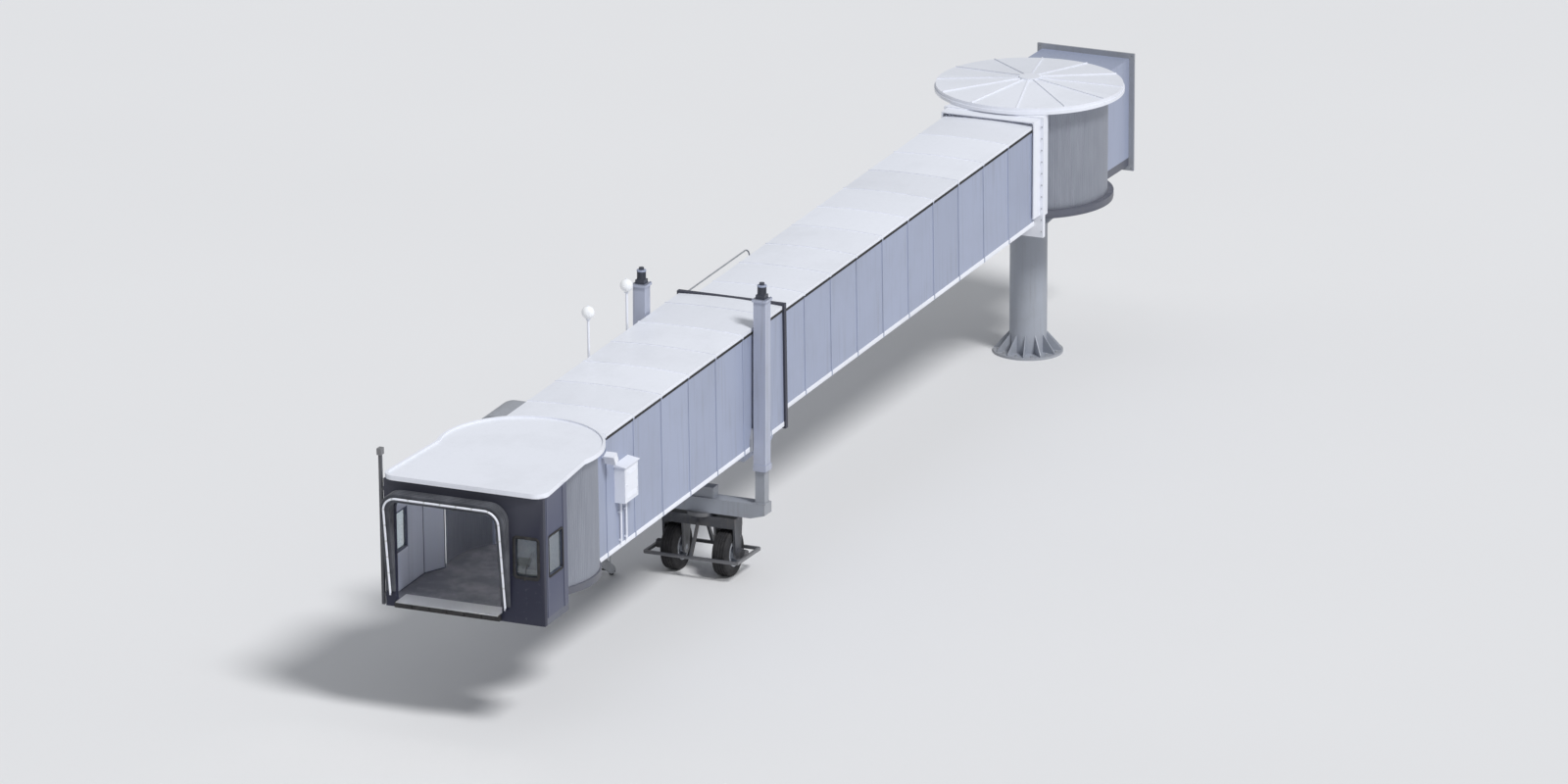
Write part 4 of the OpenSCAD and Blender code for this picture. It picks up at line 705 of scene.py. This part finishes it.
# %% Clips that hold the cloth to the hoop
y, w = round_the_opening(400, band / 2, outer_floor + 0.25)[0].T
leaned = np.column_stack([hoop_x + (w - hoop_low) * hoop_lean, y + opening_middle, w])
clip_places = np.linspace(24, 375, 17).astype(int)
clips = joined(*[tube(leaned[k - 1:k + 2], 0.0256, 24) for k in clip_places])
piece("hoop_clips", clips, "aluminium", "canopy_hoop", in_cab)
print("clips", len(clip_places))

# %% [markdown]
# ## Seals and frames of the windows
# A pane never meets its wall bare: a rubber seal holds it and covers the cut. The seal is one profile
# carried round a rectangle with round corners.

# %% Seals round the cab's panes


def pane_ring(centre, size, corner, across, out, width, depth):
    """A closed sweep round an upright rectangle with round corners, which faces out."""
    a = np.radians(np.arange(0, 360, 15) + 7.5)[:, None]
    c, s = np.cos(a), np.sin(a)
    reach = np.array(size) / 2 - corner
    sideways, height = np.sign(c) * reach[0] + corner * c, np.sign(s) * reach[1] + corner * s
    path = centre + sideways * across + height * z_axis
    profile = [(-width, 0), (-width, depth * 0.6), (-width * 0.6, depth), (width * 0.3, depth),
               (width, depth * 0.4), (width, 0)]
    return sweep(profile, path, -(c * across + s * z_axis), out, closed=True)


window_middle = outer_floor + 1.40
side_x = cab_front - 0.50
front_pane_y = 1.525
rings = [
    *[pane_ring([side_x, s * cab_half, window_middle], (0.74, 0.94), 0.07, x_axis, s * y_axis, 0.029, 0.018)
      for s in both],
    pane_ring([cab_face, front_pane_y, window_middle], (0.59, 0.94), 0.07, y_axis, x_axis, 0.035, 0.018),
]
piece("window_seals", joined(*rings), "castor_rubber", "cab", in_cab)
print("window seals", len(rings))

# %% Pane and seal of the service door
pane_middle = np.array([(door_start + door_end) / 2, -outer_half + 0.0225, outer_floor + 1.475])


def domed_pane(centre, size, out, thickness):
    """A closed upright pane: both faces bulge by 2 mm * (1 - a^2)(1 - b^2) over its width a and height b."""
    n = 7
    a = np.linspace(-1, 1, n)
    bulge = (thickness / 2 + 0.002 * (1 - a[:, None] ** 2) * (1 - a[None] ** 2))[..., None] * out
    flat = centre + a[:, None, None] * x_axis * size[0] / 2 + a[None, :, None] * z_axis * size[1] / 2
    front, rear = grid_faces(n, n), [[k + n * n for k in f[::-1]] for f in grid_faces(n, n)]
    numbers = np.arange(n * n).reshape(n, n)
    edge = np.concatenate([numbers[0], numbers[1:, -1], numbers[-1, -2::-1], numbers[-2:0:-1, 0]])
    after = np.roll(edge, -1)
    rim = np.stack([edge, after, after + n * n, edge + n * n], -1).tolist()
    return np.concatenate([(flat + bulge).reshape(-1, 3), (flat - bulge).reshape(-1, 3)]), front + rear + rim


pane = domed_pane(pane_middle, (0.298, 0.448), -y_axis, 0.008)
piece("door_pane", pane, "window_glass", "service_door", in_tunnel)
seal_middle = pane_middle * [1, 0, 1] - outer_half * y_axis
ring = pane_ring(seal_middle, (0.33, 0.48), 0.04, x_axis, -y_axis, 0.020, 0.010)
piece("door_seal", ring, "castor_rubber", "service_door", in_tunnel)
print("door pane", pane_middle.round(2))

# %% Wiper of the driver's window
wiper_foot = np.array([cab_face, front_pane_y - 0.05, outer_floor + 0.90])
arm_line = np.array([[0, 0, 0], [0.035, 0, 0], [0.040, 0.01, 0.04], [0.034, 0.06, 0.25], [0.026, 0.11, 0.44]])
blade_line = np.array([[0.026, 0.02, 0.22], [0.028, 0.11, 0.44], [0.026, 0.20, 0.66]])
blade = sweep([(-0.006, 0), (0.006, 0), (0.002, -0.022), (-0.002, -0.022)], blade_line, y_axis, x_axis)
cap = turned(lathe([(0, 0), (0.03, 0), (0.03, 0.02), (0.02, 0.032), (0, 0.034)], 16), facing_x)
wiper = moved(joined(tube(arm_line, 0.007, 8), blade, cap), wiper_foot)
piece("window_wiper", wiper, "castor_rubber", "cab", in_cab)
print("wiper", round(float(np.ptp(wiper[0][:, 2])), 2), "m high")

# %% Sill plate with its raised lozenges
sill_profile = [(-0.30, 0.0004), (-0.296, 0.004), (0.238, 0.004), (0.250, 0.001), (0.254, -0.016),
                (0.250, -0.016), (0.246, -0.001), (0.236, 0.0004)]
sill_line = [[cab_front, opening_middle + s * 1.255, outer_floor] for s in (-1, 1)]
lozenge = resized(lathe([(0, -0.001), (0.016, -0.001), (0.011, 0.0016), (0, 0.0022)], 8), [1, 0.36, 1])
lean = np.array([[1, 1, 0], [-1, 1, 0], [0, 0, np.sqrt(2)]]) / np.sqrt(2)
rows, columns = np.meshgrid(np.arange(9), np.arange(44), indexing="ij")
spots = np.stack([cab_front - 0.262 + 0.055 * rows, opening_middle - 1.22 + 0.0567 * columns,
                  np.full(rows.shape, outer_floor + 0.004)], -1)
even = (rows + columns) % 2 == 0
sill = joined(sweep(sill_profile, sill_line, x_axis, z_axis), stamped(turned(lozenge, lean), spots[even]),
              stamped(turned(lozenge, lean.T), spots[~even]))
piece("sill_plate", sill, "aluminium", "cab", in_cab, smooth=False)
print("lozenges on the sill", rows.size)

# %% [markdown]
# ## The cab's lining
# Inside, the cab is lined with pale laminate panels, screwed on below, above and beside the windows. Each
# panel is one sheet whose edges fall back to the wall, so the joints show as thin dark lines.

# %% Lining panels
wall = 0.08
left_post, left_corner = np.array([1.423, 1.072]), np.array([1.773, cab_half])
right_post, right_corner = np.array([0.639, -1.664]), np.array([1.189, -cab_half])
window_span = (side_x - 0.35, side_x + 0.35)
window_heights = (window_middle - 0.45, window_middle + 0.45)
lining_low, lining_high = outer_floor + 0.02, cab_ceiling - 0.02


def lining_panel(p, q, low=lining_low, high=lining_high, stand=0.008, edge=0.010):
    """A sheet between two plan points: it stands off the line to its left and falls to it over its edges."""
    length = np.linalg.norm(q - p)
    way = (q - p) / length
    out = np.array([-way[1], way[0]])
    a = np.array([0, edge, length - edge, length])
    b = np.array([low, low + edge, high - edge, high])
    off = 0.0006 + np.array([0, stand, stand, 0])[:, None] * np.array([0, 1, 1, 0])[None]
    plan = p + a[:, None, None] * way + off[..., None] * out
    points = np.concatenate([plan, np.broadcast_to(b[None, :, None], off.shape + (1,))], -1)
    return points.reshape(-1, 3), grid_faces(4, 4)


def wall_lining(side, corner_x):
    """Four panels of a straight wall: whole ones beside the window, and one below and one above it."""
    gap, margin = 0.006, 0.035
    a, b = window_span[0] - margin, window_span[1] + margin
    low, high = lining_low, lining_high
    spans = [(corner_x + 0.05, a, low, high), (b + gap, cab_front - 0.004, low, high),
             (a + gap, b, low, window_heights[0] - margin), (a + gap, b, window_heights[1] + margin, high)]
    y = side * (cab_half - wall)
    return [lining_panel(*np.array([[x1, y], [x2, y]])[::-side], z1, z2) for x1, x2, z1, z2 in spans]


def slanted_lining(p, q):
    """One panel on the inner side of a slanted wall."""
    way = (q - p) / np.linalg.norm(q - p)
    inner = np.array([-way[1], way[0]]) * wall
    return lining_panel(p + inner + way * 0.03, q + inner - way * 0.03)


panels = wall_lining(-1, right_corner[0]) + wall_lining(1, left_corner[0])
panels += [slanted_lining(left_corner, left_post), slanted_lining(right_post, right_corner)]
piece("cab_lining", joined(*panels), "lining", "cab", in_cab, smooth=False)
print("lining panels", len(panels))

# %% Handrails and kick plates inside the tunnels
kick_profile = [(0, 0.002), (-0.004, 0.002), (-0.004, 0.148), (0, 0.152)]


def handrail(start, end, wall_y, side, height):
    """A rail that runs 60 mm off the wall and meets it at both ends, with stubs every metre and a half."""
    inner = wall_y - 0.06
    plan = np.array([[start, wall_y], [start, inner], [end, inner], [end, wall_y]]) * [1, side]
    count = max(2, int((end - start) / 1.5))
    stubs = [tube([[u, side * (inner + 0.01), height], [u, side * (inner + 0.03), height - 0.03],
                   [u, side * wall_y, height - 0.03]], 0.009, 8)
             for u in np.linspace(start + 0.4, end - 0.4, count)]
    return joined(tube(rounded(np.column_stack([plan, [height] * 4]), 0.05), 0.019), *stubs)


def kick_plate(start, end, wall_y, side, low):
    """A thin plate along the foot of a wall, its upper edge folded back."""
    return strip(kick_profile, side, wall_y - 0.0005, low, start, end)


inner_wall, outer_wall = inner_half - 0.07, outer_half - 0.08
rails = [handrail(0.35, 20.9, inner_wall, s, inner_floor + 0.9) for s in both]
plates = [kick_plate(0.10, 21.18, inner_wall, s, inner_floor) for s in both]
piece("inner_handrails", joined(*rails, *plates), "aluminium", "inner_tunnel", in_tunnel)
rails = [handrail(u, 25.0, outer_wall, s, outer_floor + 0.9) for u, s in ((22.75, 1), (24.0, -1))]
plates = [kick_plate(u, 25.1, outer_wall, s, outer_floor) for u, s in ((22.65, 1), (door_end + 0.05, -1))]
piece("outer_handrails", joined(*rails, *plates), "aluminium", "outer_tunnel", in_tunnel)
print("handrails", 4)

# %% [markdown]
# ## The driver's panel
# The desk in the cab carries a sloping panel with push buttons, two levers and a screen on a short foot. The
# buttons are plain dark domes, because nothing is written on them.

# %% Buttons, levers and the screen
desk_y = (opening_middle + opening_half + cab_half - wall) / 2
desk = np.array([cab_front - 0.43, desk_y, outer_floor + 0.907])
desk_slope = np.arctan2(0.18, 0.35)
desk_axes = np.array([[np.cos(desk_slope), 0, np.sin(desk_slope)], y_axis,
                      [-np.sin(desk_slope), 0, np.cos(desk_slope)]])
plate_top = 0.010


def on_desk(points):
    """Points drawn on a level desk, tilted with the real one and set in the cab."""
    return in_cab(np.asarray(points) @ desk_axes + desk)


piece("desk_panel", box([-0.15, -0.38, 0.0005], [0.14, 0.38, plate_top]), "aluminium", "cab", on_desk,
      smooth=False, bevel=0.004)
button = lathe([(0, 0), (0.022, 0), (0.022, 0.006), (0.016, 0.007), (0.015, 0.016), (0.010, 0.020),
                (0, 0.021)], 16)
rows, columns = np.meshgrid(np.arange(3), np.arange(9), indexing="ij")
spots = np.stack([-0.09 + 0.075 * rows, -0.30 + 0.068 * columns, np.full(rows.shape, plate_top)], -1)
spots = spots[(rows > 0) | (columns < 5)]
piece("desk_buttons", stamped(button, spots), "castor_rubber", "cab", on_desk)
lever = lathe([(0, 0), (0.05, 0), (0.05, 0.006), (0.036, 0.018), (0.038, 0.024), (0.026, 0.034),
               (0.028, 0.040), (0.016, 0.050), (0.010, 0.056), (0.008, 0.105), (0.018, 0.112),
               (0.024, 0.128), (0.022, 0.146), (0.012, 0.156), (0, 0.158)], 20)
levers = stamped(lever, [[-0.07, 0.32, plate_top], [0.05, 0.30, plate_top]])
piece("desk_levers", levers, "castor_rubber", "cab", on_desk)
screen_line = [[0.20, -0.12, 0.05], [0.235, -0.12, 0.05]]
screen = joined(sweep(cut_rectangle(0.15, 0, 0.20, 0.01), screen_line, y_axis, z_axis),
                tube([[0.22, -0.12, 0.0], [0.22, -0.12, 0.06]], 0.02))
piece("desk_screen", screen, "castor_rubber", "cab", on_desk, bevel=0.003)
print("buttons", len(spots))

# %% [markdown]
# ## The lines along the tunnels
# A folded pale strip covers the joint between each wall and the floor frame, and stops short of the lift
# columns' brackets and the landing. From the air a thin dark line parts the bright roofs from the walls: it
# is painted shadow, a black strip under each roof's edge that stands for the shade of the eaves. Both are
# thin trim, so they belong to the scene and not to CAD.

# %% Edge strips, and black strips of painted shadow under the eaves
edge_profile = [(0, 0), (0.010, 0), (0.011, 0.004), (0.011, 0.105), (0.006, 0.112), (0, 0.112)]
# Profile of the black eaves strips, which are painted shadow
shadow_strip_profile = [(0, 0), (0.008, 0.002), (0.012, 0.010), (0.012, 0.052), (0.008, 0.060), (0, 0.062)]
inner_span, outer_span = (inner_start + 0.01, inner_end - 0.01), (outer_start + 0.002, outer_end - 0.01)
before_drive, after_drive = drive_u - 0.24, drive_u + 0.24
broken_spans = {1: [(outer_span[0], before_drive), (after_drive, outer_span[1])],
                -1: [(outer_span[0], before_drive), (after_drive, landing_start - 0.01),
                     (landing_end + 0.01, outer_span[1])]}
inner_spans, outer_spans = ({s: [span] for s in both} for span in (inner_span, outer_span))
trim = {
    "inner_edge_strips": (edge_profile, inner_half, inner_bottom + 0.004, inner_spans),
    "outer_edge_strips": (edge_profile, outer_half, outer_bottom + 0.004, broken_spans),
    "inner_gaskets": (shadow_strip_profile, inner_half, inner_eaves - 0.133, inner_spans),
    "outer_gaskets": (shadow_strip_profile, outer_half, outer_ceiling - 0.063, outer_spans),
}
for name, (profile, half, low, spans) in trim.items():
    shapes = [strip(profile, s, half, low, *span) for s in both for span in spans[s]]
    # The eaves strips are black rubber: painted shadow under the roofs' edges.
    finish = "castor_rubber" if profile is shadow_strip_profile else "painted_white"
    piece(name, joined(*shapes), finish, f"{name[:5]}_tunnel", in_tunnel)
print("pieces of trim along the tunnels", len(trim))

# %% [markdown]
# ## Nuts, lamps and lights
# Small things set the scale: nuts on the anchor bolts and on the wheels, globes on the masts and a row of
# lights under each ceiling.

# %% Nuts on the base plate and the wheels, and bolts down the portal frame
anchors = np.column_stack([round_places(12, 0.74), np.full(12, 0.0602)])
piece("anchor_nuts", stamped(nut, anchors), "galvanised_steel", "terminal_side", smooth=False)
for side, word in ((1, "left"), (-1, "right")):
    x, z = round_places(8, 0.085, 22.5).T
    places = np.column_stack([drive_x + x, np.full(8, side * (wheel_y + 0.2)), axle_z + z])
    small_nut = turned(resized(nut, 0.5), [z_axis, x_axis, side * y_axis])
    piece(f"wheel_nuts_{word}", stamped(small_nut, places), "galvanised_steel", f"wheel_{word}", smooth=False)
portal_front = 2.1902
bolt_places = [[portal_front, s * 1.256, z] for s in both for z in np.arange(3.75, 6.45, 0.29)]
piece("portal_bolts", stamped(turned(resized(nut, 0.62), facing_x), bolt_places), "galvanised_steel",
      "slewing_frame", smooth=False)
print("nuts", 12 + 16, "and bolts", len(bolt_places))

# %% Globes on the masts
h = np.sin(np.radians(np.linspace(-70, 86, 26))) * 0.15
ball = zip(np.sqrt(0.1504 ** 2 - h ** 2), h)
globe = lathe([(0, -0.152), (0.055, -0.152), (0.055, -0.142), *ball, (0, h[-1])], 40)
mast_height, globe_rise = 0.8, 0.135
lamp_y, lamp_w = -(outer_half + 0.12), outer_ridge + mast_height + globe_rise
globes = stamped(globe, [[drive_u + along, lamp_y, lamp_w] for along in (0.9, 3.0)])
piece("lamp_globes", globes, "lamp_glass", "outer_tunnel", in_tunnel)
print("globes", 2)

# %% Lights under the ceilings
batten = [(-0.10, 0), (-0.085, -0.03), (0.085, -0.03), (0.10, 0)]
ceiling_lights = {
    "inner_lights": (np.arange(1.0, 20.5, 2.4), 1.3, inner_eaves - 0.072, "inner_tunnel", in_tunnel),
    "outer_lights": (np.arange(21.9, 24.6, 2.0), 1.3, outer_ceiling - 0.002, "outer_tunnel", in_tunnel),
    "cab_lights": ([0.2, 1.7], 0.9, cab_ceiling - 0.002, "cab", in_cab),
    "corridor_light": ([-3.2], 1.3, corridor_ceiling - 0.002, "terminal_side", as_it_is),
    "rotunda_light": ([-0.65], 1.3, roof_z - 0.002, "terminal_side", as_it_is),
}
for name, (starts, length, ceiling, body, place) in ceiling_lights.items():
    shapes = [strip(batten, 1, 0, ceiling, start, start + length) for start in starts]
    piece(name, joined(*shapes), "light_panel", body, place, smooth=False)
print("rows of ceiling lights", len(ceiling_lights))

# %% [markdown]
# ## Seals, louvres and motors outside
# A black rubber lip fills the gap between the end collar and the inner tunnel; its black is partly painted
# shadow, standing for the dark gap at that step. The cabinet has its door, the air conditioning unit its
# louvres, and the motors their fan cowls and bolted ends.

# %% Seal in the end collar, black partly as painted shadow
seal_y, seal_low = inner_half + 0.018, inner_bottom + 0.004
arch = np.linspace(1, -1, 17)
crown = np.stack([arch * seal_y, inner_eaves + 0.016 + 0.045 * (1 - arch ** 2)], -1)
around = np.concatenate([[[seal_y, seal_low]], crown, [[-seal_y, seal_low]]])
inward = np.array([[-1, 0], [-0.7, -0.7], *[[0, -1]] * 15, [0.7, -0.7], [1, 0]])
lip = [(0, 0), (0.0045, -0.004), (0.0045, -0.045), (0, -0.05), (-0.045, -0.05), (-0.045, 0)]
path = np.column_stack([np.full(len(around), outer_start - 0.12), around])
seal = sweep(lip, path, np.column_stack([np.zeros(len(around)), inward]), x_axis)
# The seal's black rubber is partly painted shadow for the gap at the step between the tunnels.
piece("collar_seal_and_shadow", seal, "castor_rubber", "outer_tunnel", in_tunnel, smooth=False)
print("seal", round(float(np.ptp(seal[0][:, 1])), 2), "m wide")

# %% Door, hinges and louvres of the cabinet, from the lower near corner of its face
slot_profile = [(-0.002, 0), (0.010, 0), (0.012, 0.004), (0.0, 0.016), (-0.002, 0.016)]
leaf = domed_pane([0.35, -0.005, 0.425], (0.606, 0.756), y_axis, 0.010)
slot_heights = np.append(np.arange(0.09, 0.20, 0.03), np.arange(0.64, 0.75, 0.03))
slots = [strip(slot_profile, 1, 0, height, 0.14, 0.56) for height in slot_heights]
hinges = [tube([[0.03, 0.004, low], [0.03, 0.004, low + 0.09]], 0.010, 10) for low in (0.12, 0.38, 0.64)]
catch = lathe([(0, 0), (0.026, 0), (0.026, 0.008), (0.014, 0.012), (0.012, 0.022), (0, 0.024)], 18)
catch = moved(turned(catch, facing_y), [0.60, 0.001, 0.42])
cabinet = [outer_end - 1.7, outer_half + 0.26, outer_floor + 1.0]
door = moved(joined(leaf, *slots, *hinges, catch), cabinet)
piece("cabinet_door", door, "painted_white", "outer_tunnel", in_tunnel, smooth=False)
print("cabinet louvres", len(slots))

# %% Louvre blades and latches of the air conditioning unit
unit_start, unit_end, unit_half, unit_top = 14.29, 16.54, 0.75, outer_bottom - 0.0503
blade = [(-0.013, -0.0005), (-0.013, -0.003), (0.010, -0.028), (0.010, -0.0245)]
blades = [strip(blade, s, unit_half, unit_top - 0.12 - 0.06 * i, unit_start + 0.702, unit_end - 0.402)
          for i in range(5) for s in both]
latch = box([0, -0.004, -0.50], [0.07, 0.010, -0.47])
latches = [moved(latch, [u, s * unit_half, unit_top]) for u in (15.1, 15.7) for s in both]
piece("unit_louvres", joined(*blades, *latches), "painted_steel", "outer_tunnel", in_tunnel, smooth=False)
print("blades", len(blades))

# %% Cowls and end caps of the motors
cowl = lathe([(0.1052, 0.284), (0.1110, 0.286), (0.1115, 0.300), (0.1110, 0.316), (0.1060, 0.3230),
              (0.0800, 0.3255), (0.0602, 0.3255), (0.0602, 0.3205), (0.1052, 0.3205)], 40)
flange_bolts = stamped(resized(nut, 0.45), [[0.155 * i, 0.155 * j, 0.0003] for i in both for j in both])
lift_motors = stamped(joined(cowl, flange_bolts), [[drive_x, s * lift_y, lift_top] for s in both])
piece("lift_motors", lift_motors, "painted_grey", "drive_column", smooth=False)
end_cap = lathe([(0, 0.2003), (0.104, 0.2003), (0.106, 0.204), (0.103, 0.214), (0.060, 0.219), (0.052, 0.232),
                 (0, 0.235)], 40)
cap_bolts = stamped(resized(nut, 0.35), np.column_stack([round_places(6, 0.082), np.full(6, 0.2155)]))
hub_motors = [moved(turned(joined(end_cap, cap_bolts), facing_y * [1, s, 1]), [drive_x, s * 0.92, axle_z])
              for s in both]
piece("wheel_motors", joined(*hub_motors), "dark_steel", "bogie", smooth=False)
print("cowls and caps", 4)

# %% Conduits and a junction box on the column
box_turn, box_low = np.radians(210.0), 1.1
outward = np.array([np.cos(box_turn), np.sin(box_turn), 0])
beside = np.array([-np.sin(box_turn), np.cos(box_turn), 0])


def from_column(profile, z, *reaches):
    """A profile of (sideways, up) carried outwards at height z, through the given distances from the axis."""
    return sweep(profile, [outward * reach + z * z_axis for reach in reaches], beside, z_axis)


pipes = [tube([outward * 0.495 + beside * b + z * z_axis for z in (1.65, 2.4, 3.10, 3.538)], 0.024)
         for b in (-0.07, 0.07)]
clips = [from_column([(-0.12, -0.015), (0.12, -0.015), (0.12, 0.015), (-0.12, 0.015)], z, 0.44, 0.525)
         for z in (1.95, 2.7, 3.2)]
shell = from_column(cut_rectangle(0.17, -0.02, 0.57, 0.02), box_low, 0.435, 0.60, 0.612)
lid = from_column(cut_rectangle(0.15, 0, 0.55, 0.02), box_low, 0.611, 0.622)
piece("column_conduits", joined(shell, lid, *pipes, *clips), "painted_steel", "terminal_side", smooth=False)
print("pipes up the column", len(pipes))

# %% Tray and pipes under the outer tunnel
tray_start, tray_end = 17.35, 24.1
tray_y, tray_w, pipe_seat = (0.62, 0.98), outer_bottom - 0.05, 0.014
rail_profile = [(-0.003, 0), (-0.003, 0.05), (0.003, 0.05), (0.003, 0)]
tray = [strip(rail_profile, 1, y, tray_w, tray_start, tray_end) for y in tray_y]
rungs = stamped(box([0, tray_y[0], 0.004], [0.03, tray_y[1], pipe_seat]),
                [[u, 0, tray_w] for u in np.arange(tray_start + 0.15, tray_end - 0.1, 0.3)])
pipes = [tube([[u, y, tray_w + pipe_seat + r] for u in (tray_start - 0.05, 20.5, tray_end + 0.05)], r)
         for y, r in ((0.69, 0.018), (0.76, 0.018), (0.85, 0.017), (0.91, 0.014))]
piece("under_tray", joined(*tray, rungs, *pipes), "galvanised_steel", "outer_tunnel", in_tunnel, smooth=False)
print("tray", round(tray_end - tray_start, 2), "m long")

# %% Grating on the landing and teeth on the treads
grating_start, grating_end = landing_start + 0.06, landing_end - 0.1
bars = stamped(box([0, landing_edge + 0.065, 0.0003], [0.005, -outer_half - 0.01, 0.003]),
               [[u, 0, outer_floor] for u in np.arange(grating_start, grating_end, 0.033)])
rods = stamped(box([grating_start, 0, 0.0003], [grating_end, 0.006, 0.0022]),
               [[0, y, outer_floor] for y in np.arange(landing_edge + 0.09, -outer_half - 0.03, 0.1)])
piece("landing_grating", joined(bars, rods), "galvanised_steel", "outer_tunnel", in_tunnel, smooth=False)
down_the_flight = 0.328125 * np.array([-np.cos(stair_angle), 0, -np.sin(stair_angle)])
treads = stair_top + np.arange(1, 16)[:, None] * down_the_flight
tooth = lathe([(0, 0.019), (0.009, 0.0195), (0.006, 0.0225), (0, 0.0225)], 6)
teeth = stamped(tooth, [[x, y, 0] for x in np.arange(-0.05, 0.10, 0.045)
                        for y in np.arange(-0.28, 0.29, 0.07)])
piece("tread_teeth", stamped(teeth, treads), "galvanised_steel", "service_stair", smooth=False)
print("treads", len(treads))

# %% [markdown]
# ## Floor, light and camera
# The object stands on a plain pale floor under soft light from the side that the photograph is lit from:
# the left of the bridge, high up. The camera is far away with a long lens, as in an aerial view.

# %% Floor
ground = Finish("floor", {"Roughness": 0.85})
cloudy = ground.noise(0.05, 3.0)
finishes["stage"] = ground.surface(ground.mix(cloudy, (0.78, 0.78, 0.79), (0.82, 0.82, 0.83)))
reach = 900.0
corners = [[-reach, -reach, 0], [reach, -reach, 0], [reach, reach, 0], [-reach, reach, 0]]
floor = piece("floor", (corners, [[0, 1, 2, 3]]), "stage", smooth=False)
print("floor", round(2 * reach), "m across")

# %% Light
sun = bpy.data.objects.new("key", bpy.data.lights.new("key", "SUN"))
sun.data.energy, sun.data.angle = 2.3, np.radians(14)
bpy.context.scene.collection.objects.link(sun)
sun.rotation_euler = Vector((-0.35, -0.75, -1.0)).to_track_quat("-Z", "Y").to_euler()
world = bpy.data.worlds.new("studio")
bpy.context.scene.world = world
world.use_nodes = True
world.node_tree.nodes["Background"].inputs["Color"].default_value = (0.93, 0.96, 1.0, 1)
world.node_tree.nodes["Background"].inputs["Strength"].default_value = 0.42
print("sun", sun.data.energy)

# %% Camera
azimuth, elevation, distance = np.radians(114), np.radians(17), 320.0
outwards = np.array([np.sin(azimuth), -np.cos(azimuth), 0])
back = outwards * np.cos(elevation) + z_axis * np.sin(elevation)
middle = np.array([14.8, 0.1, 3.1])
camera = bpy.data.objects.new("camera", bpy.data.cameras.new("camera"))
bpy.context.scene.collection.objects.link(camera)
camera.location = (middle + back * distance).tolist()
camera.rotation_euler = Vector((-back).tolist()).to_track_quat("-Z", "Y").to_euler()
camera.data.sensor_width = 36.0
camera.data.lens = 36.0 * distance / 36.5
camera.data.clip_end = 3000.0
bpy.context.scene.camera = camera
bpy.context.scene.view_settings.view_transform = "Standard"
print("camera at", [round(v, 1) for v in camera.location])
